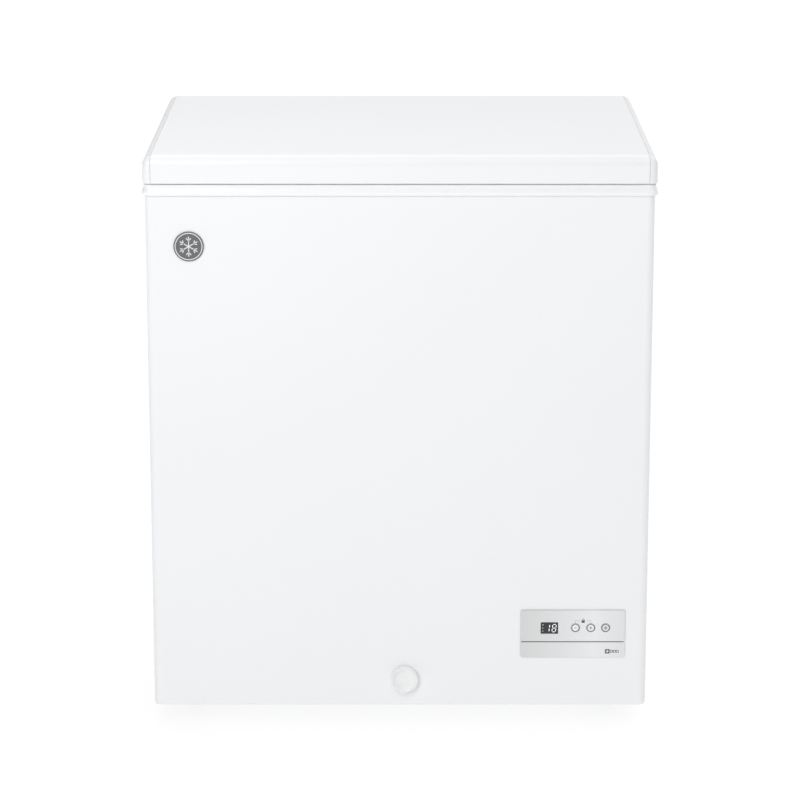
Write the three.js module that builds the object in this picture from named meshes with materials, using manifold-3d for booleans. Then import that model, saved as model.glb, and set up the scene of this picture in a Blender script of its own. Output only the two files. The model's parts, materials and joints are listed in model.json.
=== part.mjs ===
// Chest freezer with a counterbalanced top lid, of the 142 litre class.
// Millimetres, +Z up, -Y is the front and +X the right-hand side seen from the front.
// The origin is on the floor, at the centre of the outline.

import * as THREE from "three";
import { mergeVertices } from "three/addons/utils/BufferGeometryUtils.js";
import Module from "manifold-3d";

const wasm = await Module();
wasm.setup();

// ---- Driving dimensions ----

const GAP = 0.3; // clearance between pieces that touch
const OVERCUT = 5; // how far a cutter runs past the face it opens
const SHEET = 1.2; // painted steel sheet

// Cabinet: the shell wraps the front and both sides, the back panel closes it.
const CABINET = { side: 361, front: -290, back: 265, bottom: 27, top: 800, corner: 11 };
const FLOOR_SHEET = { bottom: 27.2, top: 28.7 };

// Tub: the storage space, with a step over the compressor bay.
const TUB = { side: 296, front: -225, back: 200, floor: 95.2, top: 800.6, corner: 12 };
const STEP = { x: 118, floor: 275 };

// Compressor bay, at the lower right of the cabinet.
const BAY = { left: 163, top: 225, front: -278, back: 262.6 };

// Collar round the mouth, and the lid above it.
const COLLAR = { side: 365, front: -294, back: 265, bottom: 788, plate: 801, top: 805, corner: 14 };
const LID = { side: 364, front: -295, back: 268, bottom: 808, top: 845, corner: 12, roll: 10, trim: 352 };
const LID_WALL = 2;
const PLUG = { side: 285, front: -214, back: 188, bottom: 795, rim: 812, corner: 25, wall: 1.8 };
const GASKET = { side: 330, front: -259, back: 234, width: 17, bottom: 805.4, top: 811.7, corner: 30 };

// Hinges: the lid turns about this line.
const PIVOT = { y: 287, z: 806 };
const HINGE_X = 215;
const HOUSING = { side: 30, front: 265.5, back: 298, bottom: 655, top: 816, wall: 2.5 };
const PLUNGER = { y: 278, radius: 4, bottom: 757, top: 802.2 };

// Controls, low on the right of the front.
const BEZEL = { left: 176, right: 329, bottom: 101.5, top: 174.5, front: -292, back: -290.3 };
const POCKET = { left: 185, right: 320, bottom: 110.5, top: 165, back: -266, wall: 2 };
const WINDOW = { left: 205.5, right: 231, bottom: 138, top: 155.6 };
const KEY = { z: 147.3, radius: 5.9, front: -292.9, back: -280 };
const KEY_X = { key_minus: 256.3, key_plus: 278.7, key_fast_freeze: 300.4 };

// Drain, low in the middle of the front.
const DRAIN = { x: 7, z: 68, well: -200, capFront: -298, capRadius: 20 };

// Feet in front and rollers behind.
const FOOT = { x: 305, y: -195, radius: 19, stem: 4, top: 36 };
const ROLLER = { x: 300, y: 225, radius: 12, half: 12, axle: 2.5 };

// Cooling circuit.
const COMPRESSOR = { x: 262, y: 130, radius: 62 };
const BRACKET = { halfX: 85, halfY: 65, bottom: 38.3, top: 41, mountX: 72, mountY: 52 };
const PIPE = 2.4; // radius of the coil pipes
const CONDENSER = { side: 355.8, front: -284.8, back: 238, rows: 4, first: 300, pitch: 120 };
const EVAPORATOR = { side: 301.5, front: -230.5, back: 205.5, turns: 5, first: 310, pitch: 86 };
const RISER = { x: 205, y: 232 };

// Basket that hangs on the mouth.
const BASKET = { left: 60, right: 290, front: -217, back: 192, bottom: 650, top: 785, wall: 3, corner: 20 };
const HOOK = { width: 8, reach: 16, bottom: 805.4, thick: 2.7 };

const BADGE = { x: -299.4, z: 715, radius: 21.5 };

// ---- Finishes ----

const FINISHES = {
  white_steel: { color: 0xf4f5f6, roughness: 0.28, metalness: 0.0 },
  white_plastic: { color: 0xf1f1ef, roughness: 0.4, metalness: 0.0 },
  liner_metal: { color: 0xd9dbdd, roughness: 0.45, metalness: 0.6 },
  zinc_steel: { color: 0xb4b7b8, roughness: 0.5, metalness: 0.8 },
  black_steel: { color: 0x1b1c1e, roughness: 0.4, metalness: 0.2 },
  copper: { color: 0xb87850, roughness: 0.35, metalness: 1.0 },
  foam: { color: 0xe9dfa8, roughness: 0.95, metalness: 0.0 },
  grey_rubber: { color: 0xc9cbcd, roughness: 0.8, metalness: 0.0 },
  black_rubber: { color: 0x202022, roughness: 0.85, metalness: 0.0 },
  black_plastic: { color: 0x26272a, roughness: 0.55, metalness: 0.0 },
  silver_plastic: { color: 0xd3d4d5, roughness: 0.32, metalness: 0.3 },
  badge_grey: { color: 0x6e6e70, roughness: 0.35, metalness: 0.4 },
  board_green: { color: 0x2f6b45, roughness: 0.6, metalness: 0.0 },
  dark_lens: { color: 0x0b0c10, roughness: 0.12, metalness: 0.0 },
  basket_wire: { color: 0xeeeeec, roughness: 0.35, metalness: 0.0 },
};

const freezer = new THREE.Group();

// Adds one named piece to the freezer.
function addPiece(name, shape, finish) {
  const geometry = shape.isBufferGeometry ? shape : geometryOf(shape);
  const piece = new THREE.Mesh(geometry, new THREE.MeshStandardMaterial(FINISHES[finish]));
  piece.name = name;
  freezer.add(piece);
}

// ---- Solids, cuts and joins ----

function solidOf(geometry) {
  geometry.deleteAttribute("normal");
  geometry.deleteAttribute("uv");
  const merged = mergeVertices(geometry, 1e-4);
  const triVerts = new Uint32Array(merged.index.array);
  const vertProperties = merged.attributes.position.array;
  return new wasm.Manifold(new wasm.Mesh({ numProp: 3, vertProperties, triVerts }));
}

function geometryOf(solid) {
  const mesh = solid.getMesh();
  const geometry = new THREE.BufferGeometry();
  geometry.setAttribute("position", new THREE.BufferAttribute(mesh.vertProperties, 3));
  geometry.setIndex(new THREE.BufferAttribute(mesh.triVerts, 1));
  return geometry;
}

function block(x0, x1, y0, y1, z0, z1) {
  const box = new THREE.BoxGeometry(x1 - x0, y1 - y0, z1 - z0);
  box.translate((x0 + x1) / 2, (y0 + y1) / 2, (z0 + z1) / 2);
  return solidOf(box);
}

// A flat outline pushed along one axis. The outline lies in XY, in YZ or in XZ.
function prism(outline, axis, start, end, curveSegments = 3) {
  const depth = end - start;
  const geometry = new THREE.ExtrudeGeometry(outline, { depth, bevelEnabled: false, curveSegments });
  if (axis === "x") {
    geometry.translate(0, 0, start).rotateX(Math.PI / 2).rotateZ(Math.PI / 2);
  } else if (axis === "y") {
    geometry.translate(0, 0, -end).rotateX(Math.PI / 2);
  } else {
    geometry.translate(0, 0, start);
  }
  return solidOf(geometry);
}

function rod(axis, start, end, a, b, radius, segments = 20) {
  const geometry = new THREE.CylinderGeometry(radius, radius, end - start, segments);
  geometry.translate(0, (start + end) / 2, 0);
  if (axis === "x") {
    geometry.rotateZ(-Math.PI / 2).translate(0, a, b);
  } else if (axis === "y") {
    geometry.translate(a, 0, b);
  } else {
    geometry.rotateX(Math.PI / 2).translate(a, b, 0);
  }
  return solidOf(geometry);
}

// A profile of [radius, height] pairs turned about the Z axis, or about the Y axis with height along +Y.
function turned(profile, axis = "z", segments = 24) {
  const points = profile.map(([radius, height]) => new THREE.Vector2(radius, height));
  const geometry = new THREE.LatheGeometry(points, segments);
  if (axis === "z") {
    geometry.rotateX(Math.PI / 2);
  } else if (axis === "x") {
    geometry.rotateZ(-Math.PI / 2);
  }
  return solidOf(geometry);
}

function roundedRect(x0, x1, y0, y1, radius) {
  const outline = new THREE.Shape();
  outline.moveTo(x0 + radius, y0);
  outline.lineTo(x1 - radius, y0);
  outline.absarc(x1 - radius, y0 + radius, radius, -Math.PI / 2, 0);
  outline.lineTo(x1, y1 - radius);
  outline.absarc(x1 - radius, y1 - radius, radius, 0, Math.PI / 2);
  outline.lineTo(x0 + radius, y1);
  outline.absarc(x0 + radius, y1 - radius, radius, Math.PI / 2, Math.PI);
  outline.lineTo(x0, y0 + radius);
  outline.absarc(x0 + radius, y0 + radius, radius, Math.PI, 1.5 * Math.PI);
  return outline;
}

function polygon(points) {
  return new THREE.Shape(points.map(([a, b]) => new THREE.Vector2(a, b)));
}

// A route through chosen corners, which an extrusion follows with one step from each corner to the next.
class Route extends THREE.Curve {
  constructor(corners) {
    super();
    this.corners = corners;
  }

  get steps() {
    return this.corners.length - 1;
  }

  getPointAt(u, target = new THREE.Vector3()) {
    return target.copy(this.corners[Math.round(u * this.steps)]);
  }

  getTangentAt(u, target = new THREE.Vector3()) {
    const index = Math.round(u * this.steps);
    const before = this.corners[Math.max(index - 1, 0)];
    const after = this.corners[Math.min(index + 1, this.steps)];
    const here = this.corners[index];
    const arriving = here.clone().sub(before).normalize();
    const leaving = after.clone().sub(here).normalize();
    return target.copy(arriving).add(leaving).normalize();
  }
}

// Rounds the inner corners of a list of [x, y, z] places with short arcs of chords.
function bentRoute(places, bend, chords = 3) {
  const spots = places.map((place) => new THREE.Vector3(...place));
  const corners = [spots[0]];
  for (let i = 1; i < spots.length - 1; i += 1) {
    const toBefore = spots[i - 1].clone().sub(spots[i]);
    const toAfter = spots[i + 1].clone().sub(spots[i]);
    const reach = Math.min(bend, toBefore.length() / 2.1, toAfter.length() / 2.1);
    const start = spots[i].clone().addScaledVector(toBefore.normalize(), reach);
    const end = spots[i].clone().addScaledVector(toAfter.normalize(), reach);
    const arc = new THREE.QuadraticBezierCurve3(start, spots[i], end);
    corners.push(...arc.getPoints(chords));
  }
  corners.push(spots[spots.length - 1]);
  return new Route(corners);
}

function pipe(route, radius, sides = 5) {
  const section = new THREE.Shape();
  for (let i = 0; i < sides; i += 1) {
    const angle = (2 * Math.PI * i) / sides;
    const step = i === 0 ? "moveTo" : "lineTo";
    section[step](radius * Math.cos(angle), radius * Math.sin(angle));
  }
  return solidOf(new THREE.ExtrudeGeometry(section, { extrudePath: route, steps: route.steps }));
}

// ---- Cabinet ----

// The plan of the cabinet, open at the back when back is past the cabinet's own.
function cabinetPlan(inset, back) {
  const side = CABINET.side - inset;
  const front = CABINET.front + inset;
  const radius = CABINET.corner - inset;
  const outline = new THREE.Shape();
  outline.moveTo(-side, back);
  outline.lineTo(-side, front + radius);
  outline.absarc(-side + radius, front + radius, radius, Math.PI, 1.5 * Math.PI);
  outline.lineTo(side - radius, front);
  outline.absarc(side - radius, front + radius, radius, -Math.PI / 2, 0);
  outline.lineTo(side, back);
  return outline;
}

function outerShell() {
  const outside = prism(cabinetPlan(0, CABINET.back), "z", CABINET.bottom, CABINET.top);
  const inside = prism(cabinetPlan(SHEET, CABINET.back + OVERCUT), "z", 0, CABINET.top + OVERCUT);
  const room = 1;
  const panelHole = block(
    POCKET.left - room, POCKET.right + room,
    CABINET.front - OVERCUT, CABINET.front + OVERCUT,
    POCKET.bottom - room, POCKET.top + room,
  );
  const spoutHole = rod("y", CABINET.front - OVERCUT, CABINET.front + OVERCUT, DRAIN.x, DRAIN.z, 12.6);
  const ventHole = block(350, 370, -130, 50, 75, 205);
  return outside.subtract(inside).subtract(panelHole).subtract(spoutHole).subtract(ventHole);
}

// The back panel is L-shaped: it leaves the compressor bay open behind.
function backPanel() {
  const side = CABINET.side - SHEET - GAP;
  const low = FLOOR_SHEET.top + GAP;
  const outline = polygon([
    [-side, low],
    [BAY.left, low],
    [BAY.left, BAY.top],
    [side, BAY.top],
    [side, CABINET.top],
    [-side, CABINET.top],
  ]);
  return prism(outline, "y", CABINET.back - SHEET, CABINET.back);
}

// Floor sheet under the tub, with a hole for the left foot.
function basePanel() {
  const side = CABINET.side - SHEET - GAP;
  const plan = roundedRect(-side, BAY.left - GAP, CABINET.front + SHEET + GAP, CABINET.back, 1);
  const sheet = prism(plan, "z", FLOOR_SHEET.bottom, FLOOR_SHEET.top, 1);
  const corner = block(-side - 1, -side + 8, CABINET.front, CABINET.front + 10, 20, 40);
  const footHole = rod("z", 20, 40, -FOOT.x, FOOT.y, FOOT.stem + 0.6);
  return sheet.subtract(corner).subtract(footHole);
}

function compressorTray() {
  const side = CABINET.side - SHEET - GAP;
  const front = CABINET.front + SHEET + GAP;
  const sheet = block(BAY.left + 1, side, front, CABINET.back, FLOOR_SHEET.bottom, FLOOR_SHEET.top);
  const corner = block(side - 8, side + 1, front - 1, front + 8, 20, 40);
  let tray = sheet.subtract(corner).subtract(rod("z", 20, 40, FOOT.x, FOOT.y, FOOT.stem + 0.6));
  for (let i = 0; i < 6; i += 1) {
    const y = -120 + i * 22;
    tray = tray.subtract(block(200, 330, y, y + 10, 20, 40));
  }
  return tray;
}

// The partition between the insulation and the compressor bay: a wall and a ceiling in one bent sheet.
function bayLiner() {
  const right = 350;
  const outline = polygon([
    [BAY.left, FLOOR_SHEET.top + GAP],
    [BAY.left + SHEET, FLOOR_SHEET.top + GAP],
    [BAY.left + SHEET, BAY.top - SHEET],
    [right, BAY.top - SHEET],
    [right, BAY.top],
    [BAY.left, BAY.top],
  ]);
  const sheet = prism(outline, "y", BAY.front, BAY.back);
  return sheet.subtract(block(RISER.x - 7, RISER.x + 15, RISER.y - 7, RISER.y + 7, 200, 240));
}

function slotted(plate, makeSlot, count) {
  let grille = plate;
  for (let i = 0; i < count; i += 1) {
    grille = grille.subtract(makeSlot(i));
  }
  return grille;
}

function rearGrille() {
  const plate = prism(roundedRect(166, 358, 32, 221, 6), "y", 265.3, 267.3, 2);
  const drilled = plate.subtract(rod("y", 260, 270, 186, 50, 8.6));
  return slotted(drilled, (i) => block(208, 344, 260, 270, 60 + i * 17, 68 + i * 17), 9);
}

function sideGrille() {
  const plate = prism(roundedRect(-140, 60, 65, 215, 6), "x", CABINET.side + GAP, CABINET.side + 2, 2);
  return slotted(plate, (i) => block(355, 370, -120, 40, 82 + i * 15, 89 + i * 15), 8);
}

function cordGland() {
  const profile = [[4, 259], [8, 259], [8, 267.6], [11, 267.6], [11, 270.5], [7, 276], [4, 276], [4, 259]];
  return turned(profile, "y", 16).translate(186, 0, 50);
}

// The tub's space, or that space grown outwards by a wall.
function tubSpace(grow, top) {
  const front = TUB.front - grow;
  const back = TUB.back + grow;
  const radius = TUB.corner + grow;
  const chords = 2;
  const upperPlan = roundedRect(-TUB.side - grow, TUB.side + grow, front, back, radius);
  const upper = prism(upperPlan, "z", STEP.floor - grow, top, chords);
  const lowerPlan = roundedRect(-TUB.side - grow, STEP.x + grow, front, back, radius);
  const lower = prism(lowerPlan, "z", TUB.floor - grow, STEP.floor + TUB.corner, chords);
  return upper.add(lower);
}

function innerLiner() {
  const drainHole = rod("z", 60, 120, DRAIN.x, DRAIN.well, 10.6);
  return tubSpace(SHEET, TUB.top).subtract(tubSpace(0, TUB.top + OVERCUT)).subtract(drainHole);
}

// Insulation, with room for the condenser pipes outside it and the evaporator pipes inside it.
function cabinetFoam() {
  const pipeRoom = 10.5;
  const side = CABINET.side - pipeRoom;
  const front = CABINET.front + pipeRoom;
  const back = CABINET.back - pipeRoom;
  const outside = block(-side, side, front, back, 38, 798);
  const linerRoom = 12;
  const floorRoom = 1.6;
  const tubSide = TUB.side + linerRoom;
  const tubFront = TUB.front - linerRoom;
  const tubBack = TUB.back + 15;
  const upper = block(-tubSide, tubSide, tubFront, tubBack, STEP.floor - floorRoom, 810);
  const lower = block(-tubSide, STEP.x + floorRoom, tubFront, tubBack, TUB.floor - floorRoom, 400);
  const bay = block(BAY.left - GAP, 400, -400, 400, 0, BAY.top + GAP);
  const well = rod("z", 30, 110, DRAIN.x, DRAIN.well, 16);
  const drainRun = rod("y", -300, -184, DRAIN.x, DRAIN.z, 16.5);
  const riser = block(RISER.x - 7, RISER.x + 15, 205, RISER.y + 7, 200, 312);
  const hollows = [upper, lower, bay, well, drainRun, riser];
  return hollows.reduce((foam, hollow) => foam.subtract(hollow), outside);
}

function collar() {
  const plan = roundedRect(-COLLAR.side, COLLAR.side, COLLAR.front, COLLAR.back + 30, COLLAR.corner);
  const whole = prism(plan, "z", COLLAR.bottom, COLLAR.top);
  const behind = block(-400, 400, COLLAR.back, 400, 700, 900);
  const overShell = prism(cabinetPlan(-GAP, COLLAR.back + OVERCUT), "z", 700, COLLAR.plate);
  const mouthPlan = roundedRect(-TUB.side, TUB.side, TUB.front, TUB.back, TUB.corner);
  const mouth = prism(mouthPlan, "z", 700, 900, 2);
  return whole.subtract(behind).subtract(overShell).subtract(mouth);
}

function addCabinet() {
  addPiece("outer_shell", outerShell(), "white_steel");
  addPiece("back_panel", backPanel(), "zinc_steel");
  addPiece("base_panel", basePanel(), "zinc_steel");
  addPiece("compressor_tray", compressorTray(), "zinc_steel");
  addPiece("bay_liner", bayLiner(), "zinc_steel");
  addPiece("rear_grille", rearGrille(), "black_plastic");
  addPiece("side_grille", sideGrille(), "white_plastic");
  addPiece("cord_gland", cordGland(), "black_rubber");
  addPiece("inner_liner", innerLiner(), "liner_metal");
  addPiece("cabinet_foam", cabinetFoam(), "foam");
  addPiece("collar", collar(), "white_plastic");
}

// ---- Lid ----

// The lid's outer form with its rolled edges, or that form shrunk evenly by an inset and open below.
function lidForm(inset, bottom) {
  const side = LID.side - inset;
  const front = LID.front + inset;
  const back = LID.back - inset;
  const top = LID.top - inset;
  const roll = LID.roll - inset;
  const low = bottom - LID.roll - OVERCUT;
  const across = prism(roundedRect(front, back, low, top, roll), "x", -side, side, 4);
  const along = prism(roundedRect(-side, side, low, top, roll), "y", front, back, 4);
  const plan = prism(roundedRect(-side, side, front, back, LID.corner - inset), "z", bottom, top);
  return across.intersect(along).intersect(plan);
}

function lidShell() {
  return lidForm(0, LID.bottom).subtract(lidForm(LID_WALL, LID.bottom - OVERCUT));
}

function lidTopPanel() {
  return lidShell().intersect(block(-LID.trim + GAP, LID.trim - GAP, -400, 400, 700, 900));
}

function lidSideTrim(side) {
  const edges = [side * (LID.trim + GAP), side * (LID.side + OVERCUT)];
  return lidShell().intersect(block(Math.min(...edges), Math.max(...edges), -400, 400, 700, 900));
}

function plugForm(inset, bottom, top) {
  const side = PLUG.side - inset;
  const plan = roundedRect(-side, side, PLUG.front + inset, PLUG.back - inset, PLUG.corner - inset);
  return prism(plan, "z", bottom, top);
}

// The inner panel: a rim under the foam and a plug that drops into the mouth.
function lidInnerPanel() {
  const room = LID_WALL + GAP;
  const side = LID.side - room;
  const rimPlan = roundedRect(-side, side, LID.front + room, LID.back - room, LID.corner - room);
  const rim = prism(rimPlan, "z", PLUG.rim, PLUG.rim + PLUG.wall);
  const plug = plugForm(0, PLUG.bottom, PLUG.rim + PLUG.wall);
  return rim.add(plug).subtract(plugForm(PLUG.wall, PLUG.bottom + PLUG.wall, 900));
}

function lidFoam() {
  const room = PLUG.wall + GAP;
  const upper = lidForm(LID_WALL + GAP, PLUG.rim + room);
  return upper.add(plugForm(room, PLUG.bottom + room, PLUG.rim + room + 1));
}

function lidGasket() {
  const { side, front, back, width, corner, bottom, top } = GASKET;
  const outer = prism(roundedRect(-side, side, front, back, corner), "z", bottom, top);
  const holePlan = roundedRect(-side + width, side - width, front + width, back - width, corner - width);
  return outer.subtract(prism(holePlan, "z", bottom - OVERCUT, top + OVERCUT));
}

function addLid() {
  addPiece("lid_top_panel", lidTopPanel(), "white_steel");
  addPiece("lid_side_trim_left", lidSideTrim(-1), "white_plastic");
  addPiece("lid_side_trim_right", lidSideTrim(1), "white_plastic");
  addPiece("lid_inner_panel", lidInnerPanel(), "white_plastic");
  addPiece("lid_foam", lidFoam(), "foam");
  addPiece("lid_gasket", lidGasket(), "grey_rubber");
}

// ---- Hinges ----

// A channel screwed to the back of the cabinet, open at the top, with two cheeks that carry the pin.
function hingeHousing(x) {
  const { side, front, back, bottom, top, wall } = HOUSING;
  const outside = block(x - side, x + side, front, back, bottom, top);
  const left = x - side + wall;
  const right = x + side - wall;
  const open = top + OVERCUT;
  const inside = block(left, right, front + wall, back - wall, bottom + wall, open);
  const lidRoom = block(x - side - 1, x + side + 1, front - 1, 274, 803, open);
  const armRoom = block(left, right, 290, back + 1, 797, open);
  const pinHole = rod("x", x - side - 1, x + side + 1, PIVOT.y, PIVOT.z, 4.3);
  return outside.subtract(inside).subtract(lidRoom).subtract(armRoom).subtract(pinHole);
}

// The arm: a plate on the back of the lid, two lugs on the pin, and a bar that presses the plunger.
function hingeArm(x) {
  const plateFront = LID.back + GAP;
  const plateBack = plateFront + 2.7;
  const plate = block(x - 27, x + 27, plateFront, plateBack, 812, 842);
  const lugOutline = new THREE.Shape();
  lugOutline.moveTo(plateFront, 812);
  lugOutline.lineTo(281.5, 800.9);
  lugOutline.absarc(PIVOT.y, PIVOT.z, 7.5, 1.24 * Math.PI, 2.25 * Math.PI);
  lugOutline.lineTo(plateBack, 832);
  lugOutline.lineTo(plateFront, 832);
  const bar = rod("x", x - 22, x + 22, PLUNGER.y, PIVOT.z, 3.5, 12);
  const lugs = prism(lugOutline, "x", x - 25.5, x - 21).add(prism(lugOutline, "x", x + 21, x + 25.5));
  const pinHole = rod("x", x - 30, x + 30, PIVOT.y, PIVOT.z, 4.3);
  return plate.add(lugs).add(bar).subtract(pinHole);
}

function hingePin(x) {
  const reach = HOUSING.side + 0.5;
  const profile = [[0, -reach - 2], [6.5, -reach - 2], [6.5, -reach], [4, -reach]];
  profile.push([4, reach + 2], [0, reach + 2]);
  return turned(profile, "x", 16).translate(x, PIVOT.y, PIVOT.z);
}

function hingePlunger(x) {
  const flange = PLUNGER.bottom + 3;
  const profile = [[0, PLUNGER.bottom], [9, PLUNGER.bottom], [9, flange], [PLUNGER.radius, flange]];
  profile.push([PLUNGER.radius, PLUNGER.top], [0, PLUNGER.top]);
  return turned(profile, "z", 16).translate(x, PLUNGER.y, 0);
}

function hingeSpring(x) {
  const turns = 8;
  const perTurn = 8;
  const wire = 1.1;
  const low = HOUSING.bottom + HOUSING.wall + wire + GAP;
  const high = PLUNGER.bottom - wire - GAP;
  const corners = [];
  for (let i = 0; i <= turns * perTurn; i += 1) {
    const angle = (2 * Math.PI * i) / perTurn;
    const z = low + ((high - low) * i) / (turns * perTurn);
    corners.push(new THREE.Vector3(x + 7.2 * Math.cos(angle), PLUNGER.y + 7.2 * Math.sin(angle), z));
  }
  return pipe(new Route(corners), wire, 5);
}

function addHinge(name, x) {
  addPiece(`hinge_housing_${name}`, hingeHousing(x), "zinc_steel");
  addPiece(`hinge_arm_${name}`, hingeArm(x), "zinc_steel");
  addPiece(`hinge_pin_${name}`, hingePin(x), "zinc_steel");
  addPiece(`hinge_plunger_${name}`, hingePlunger(x), "zinc_steel");
  addPiece(`hinge_spring_${name}`, hingeSpring(x), "black_steel");
}

// ---- Cooling circuit ----

function compressorShell() {
  const { radius } = COMPRESSOR;
  const profile = [[0, 41.3], [40, 41.3], [56, 50], [radius, 66], [radius, 112], [radius + 4, 112]];
  profile.push([radius + 4, 118], [radius, 118], [radius, 150], [55, 170], [34, 182], [0, 186]);
  return turned(profile, "z", 20).translate(COMPRESSOR.x, COMPRESSOR.y, 0);
}

function mountSpots() {
  const spots = [];
  for (const sideX of [-1, 1]) {
    for (const sideY of [-1, 1]) {
      spots.push([COMPRESSOR.x + sideX * BRACKET.mountX, COMPRESSOR.y + sideY * BRACKET.mountY]);
    }
  }
  return spots;
}

function compressorBracket() {
  const { x, y } = COMPRESSOR;
  const plan = roundedRect(x - BRACKET.halfX, x + BRACKET.halfX, y - BRACKET.halfY, y + BRACKET.halfY, 12);
  let plate = prism(plan, "z", BRACKET.bottom, BRACKET.top, 3);
  for (const [holeX, holeY] of mountSpots()) {
    plate = plate.subtract(rod("z", 30, 50, holeX, holeY, 7.4, 16));
  }
  return plate;
}

function grommet(x, y) {
  const low = FLOOR_SHEET.top + GAP;
  const profile = [[0, low], [11, low], [11, 38], [7, 38], [7, 41.3], [10, 41.3], [9, 47], [0, 47]];
  return turned(profile, "z", 12).translate(x, y, 0);
}

function relayCover() {
  const { x, y, radius } = COMPRESSOR;
  const box = block(x - 25, x + 25, y - radius - 26, y - radius + 14, 72, 136);
  return box.subtract(rod("z", 60, 150, x, y, radius + 4.8, 20));
}

function filterDrier() {
  const profile = [[0, 88], [2.6, 88], [2.6, 96], [8, 103], [8, 158], [2.6, 165], [2.6, 172], [0, 172]];
  return turned(profile, "z", 12).translate(190, 215, 0);
}

function dischargeTube() {
  const { x, y, radius } = COMPRESSOR;
  const start = x + radius + 0.5;
  return pipe(bentRoute([[start, y, 130], [343, y, 130], [343, y, 200], [343, 214.6, 200]], 12), PIPE);
}

function suctionTube() {
  const { x, y, radius } = COMPRESSOR;
  const start = x - radius - 0.5;
  const places = [[start, y, 128], [184, y, 128], [184, y, 205], [RISER.x, RISER.y, 205]];
  places.push([RISER.x, RISER.y, 304], [RISER.x, EVAPORATOR.back + 3.6, 304]);
  return pipe(bentRoute(places, 12), 3);
}

// The capillary leaves the drier, turns twice in a loose coil and rises beside the suction tube.
function capillaryTube() {
  const loop = { x: 236, y: 215, radius: 22, z: 62, turns: 2, perTurn: 10 };
  const corners = [new THREE.Vector3(190, 215, 87.5), new THREE.Vector3(190, 215, 76)];
  corners.push(new THREE.Vector3(196, 215, 66));
  for (let i = 0; i <= loop.turns * loop.perTurn; i += 1) {
    const angle = Math.PI + (2 * Math.PI * i) / loop.perTurn;
    const x = loop.x + loop.radius * Math.cos(angle);
    const y = loop.y + loop.radius * Math.sin(angle);
    corners.push(new THREE.Vector3(x, y, loop.z + 0.5 * i));
  }
  const rise = bentRoute([[213, 216, 84], [213, RISER.y, 120], [213, RISER.y, 290], [213, 214, 296]], 8, 2);
  corners.push(...rise.corners);
  return pipe(new Route(corners), 1, 5);
}

// The condenser climbs inside the outer shell, back and forth round the right side, front and left side.
function condenserCoil() {
  const { side, front, back, rows, first, pitch } = CONDENSER;
  const places = [[343, 215, 200], [343, 228, 200], [side, back, 214]];
  for (let row = 0; row < rows; row += 1) {
    const z = first + row * pitch;
    const leftward = row % 2 === 0;
    const start = leftward ? side : -side;
    places.push([start, back, z], [start, front, z], [-start, front, z], [-start, back, z]);
  }
  const end = back + 12;
  const topRow = first + (rows - 1) * pitch;
  places.push([side, end, topRow], [side, end, 190], [190, end, 190], [190, 215, 190], [190, 215, 172.5]);
  return pipe(bentRoute(places, 10, 2), PIPE);
}

// The evaporator winds up round the tub and comes straight down again behind it.
function evaporatorCoil() {
  const { side, front, back, turns, first, pitch } = EVAPORATOR;
  const places = [[RISER.x, back, first - 6]];
  for (let turn = 0; turn < turns; turn += 1) {
    const z = first + turn * pitch;
    places.push([side, back, z + pitch * 0.15], [side, front, z + pitch * 0.4]);
    places.push([-side, front, z + pitch * 0.65], [-side, back, z + pitch * 0.9]);
  }
  const top = first + turns * pitch;
  places.push([213, back, top], [213, back + 6, top + 4], [213, back + 6, 297]);
  return pipe(bentRoute(places, 12, 2), PIPE);
}

function addCooling() {
  addPiece("compressor_shell", compressorShell(), "black_steel");
  addPiece("compressor_bracket", compressorBracket(), "black_steel");
  mountSpots().forEach(([x, y], index) => {
    addPiece(`compressor_grommet_${index + 1}`, grommet(x, y), "black_rubber");
  });
  addPiece("relay_cover", relayCover(), "black_plastic");
  addPiece("filter_drier", filterDrier(), "copper");
  addPiece("discharge_tube", dischargeTube(), "copper");
  addPiece("suction_tube", suctionTube(), "copper");
  addPiece("capillary_tube", capillaryTube(), "copper");
  addPiece("condenser_coil", condenserCoil(), "zinc_steel");
  addPiece("evaporator_coil", evaporatorCoil(), "zinc_steel");
}

// ---- Controls ----

function pocketBlock(inset, front, back) {
  return block(
    POCKET.left + inset, POCKET.right - inset, front, back, POCKET.bottom + inset, POCKET.top - inset,
  );
}

// The bezel: a face plate on the shell and a square sleeve that reaches into it.
function panelBezel() {
  const plan = roundedRect(BEZEL.left, BEZEL.right, BEZEL.bottom, BEZEL.top, 3);
  const plate = prism(plan, "y", BEZEL.front, BEZEL.back, 3);
  const sleeve = pocketBlock(0, BEZEL.back - 0.5, POCKET.back);
  const hollow = pocketBlock(POCKET.wall, BEZEL.back, POCKET.back + OVERCUT);
  const windowHole = block(WINDOW.left, WINDOW.right, -300, -285, WINDOW.bottom, WINDOW.top);
  let bezel = plate.add(sleeve).subtract(hollow).subtract(windowHole);
  for (const x of Object.values(KEY_X)) {
    bezel = bezel.subtract(rod("y", -300, -285, x, KEY.z, KEY.radius + GAP, 20));
  }
  return bezel;
}

function windowBlock(inset, front, back) {
  return block(
    WINDOW.left + inset, WINDOW.right - inset, front, back, WINDOW.bottom + inset, WINDOW.top - inset,
  );
}

function controlBox() {
  const outside = pocketBlock(0, POCKET.back + GAP, POCKET.back + 16);
  return outside.subtract(pocketBlock(POCKET.wall, POCKET.back - 1, POCKET.back + 14));
}

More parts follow.
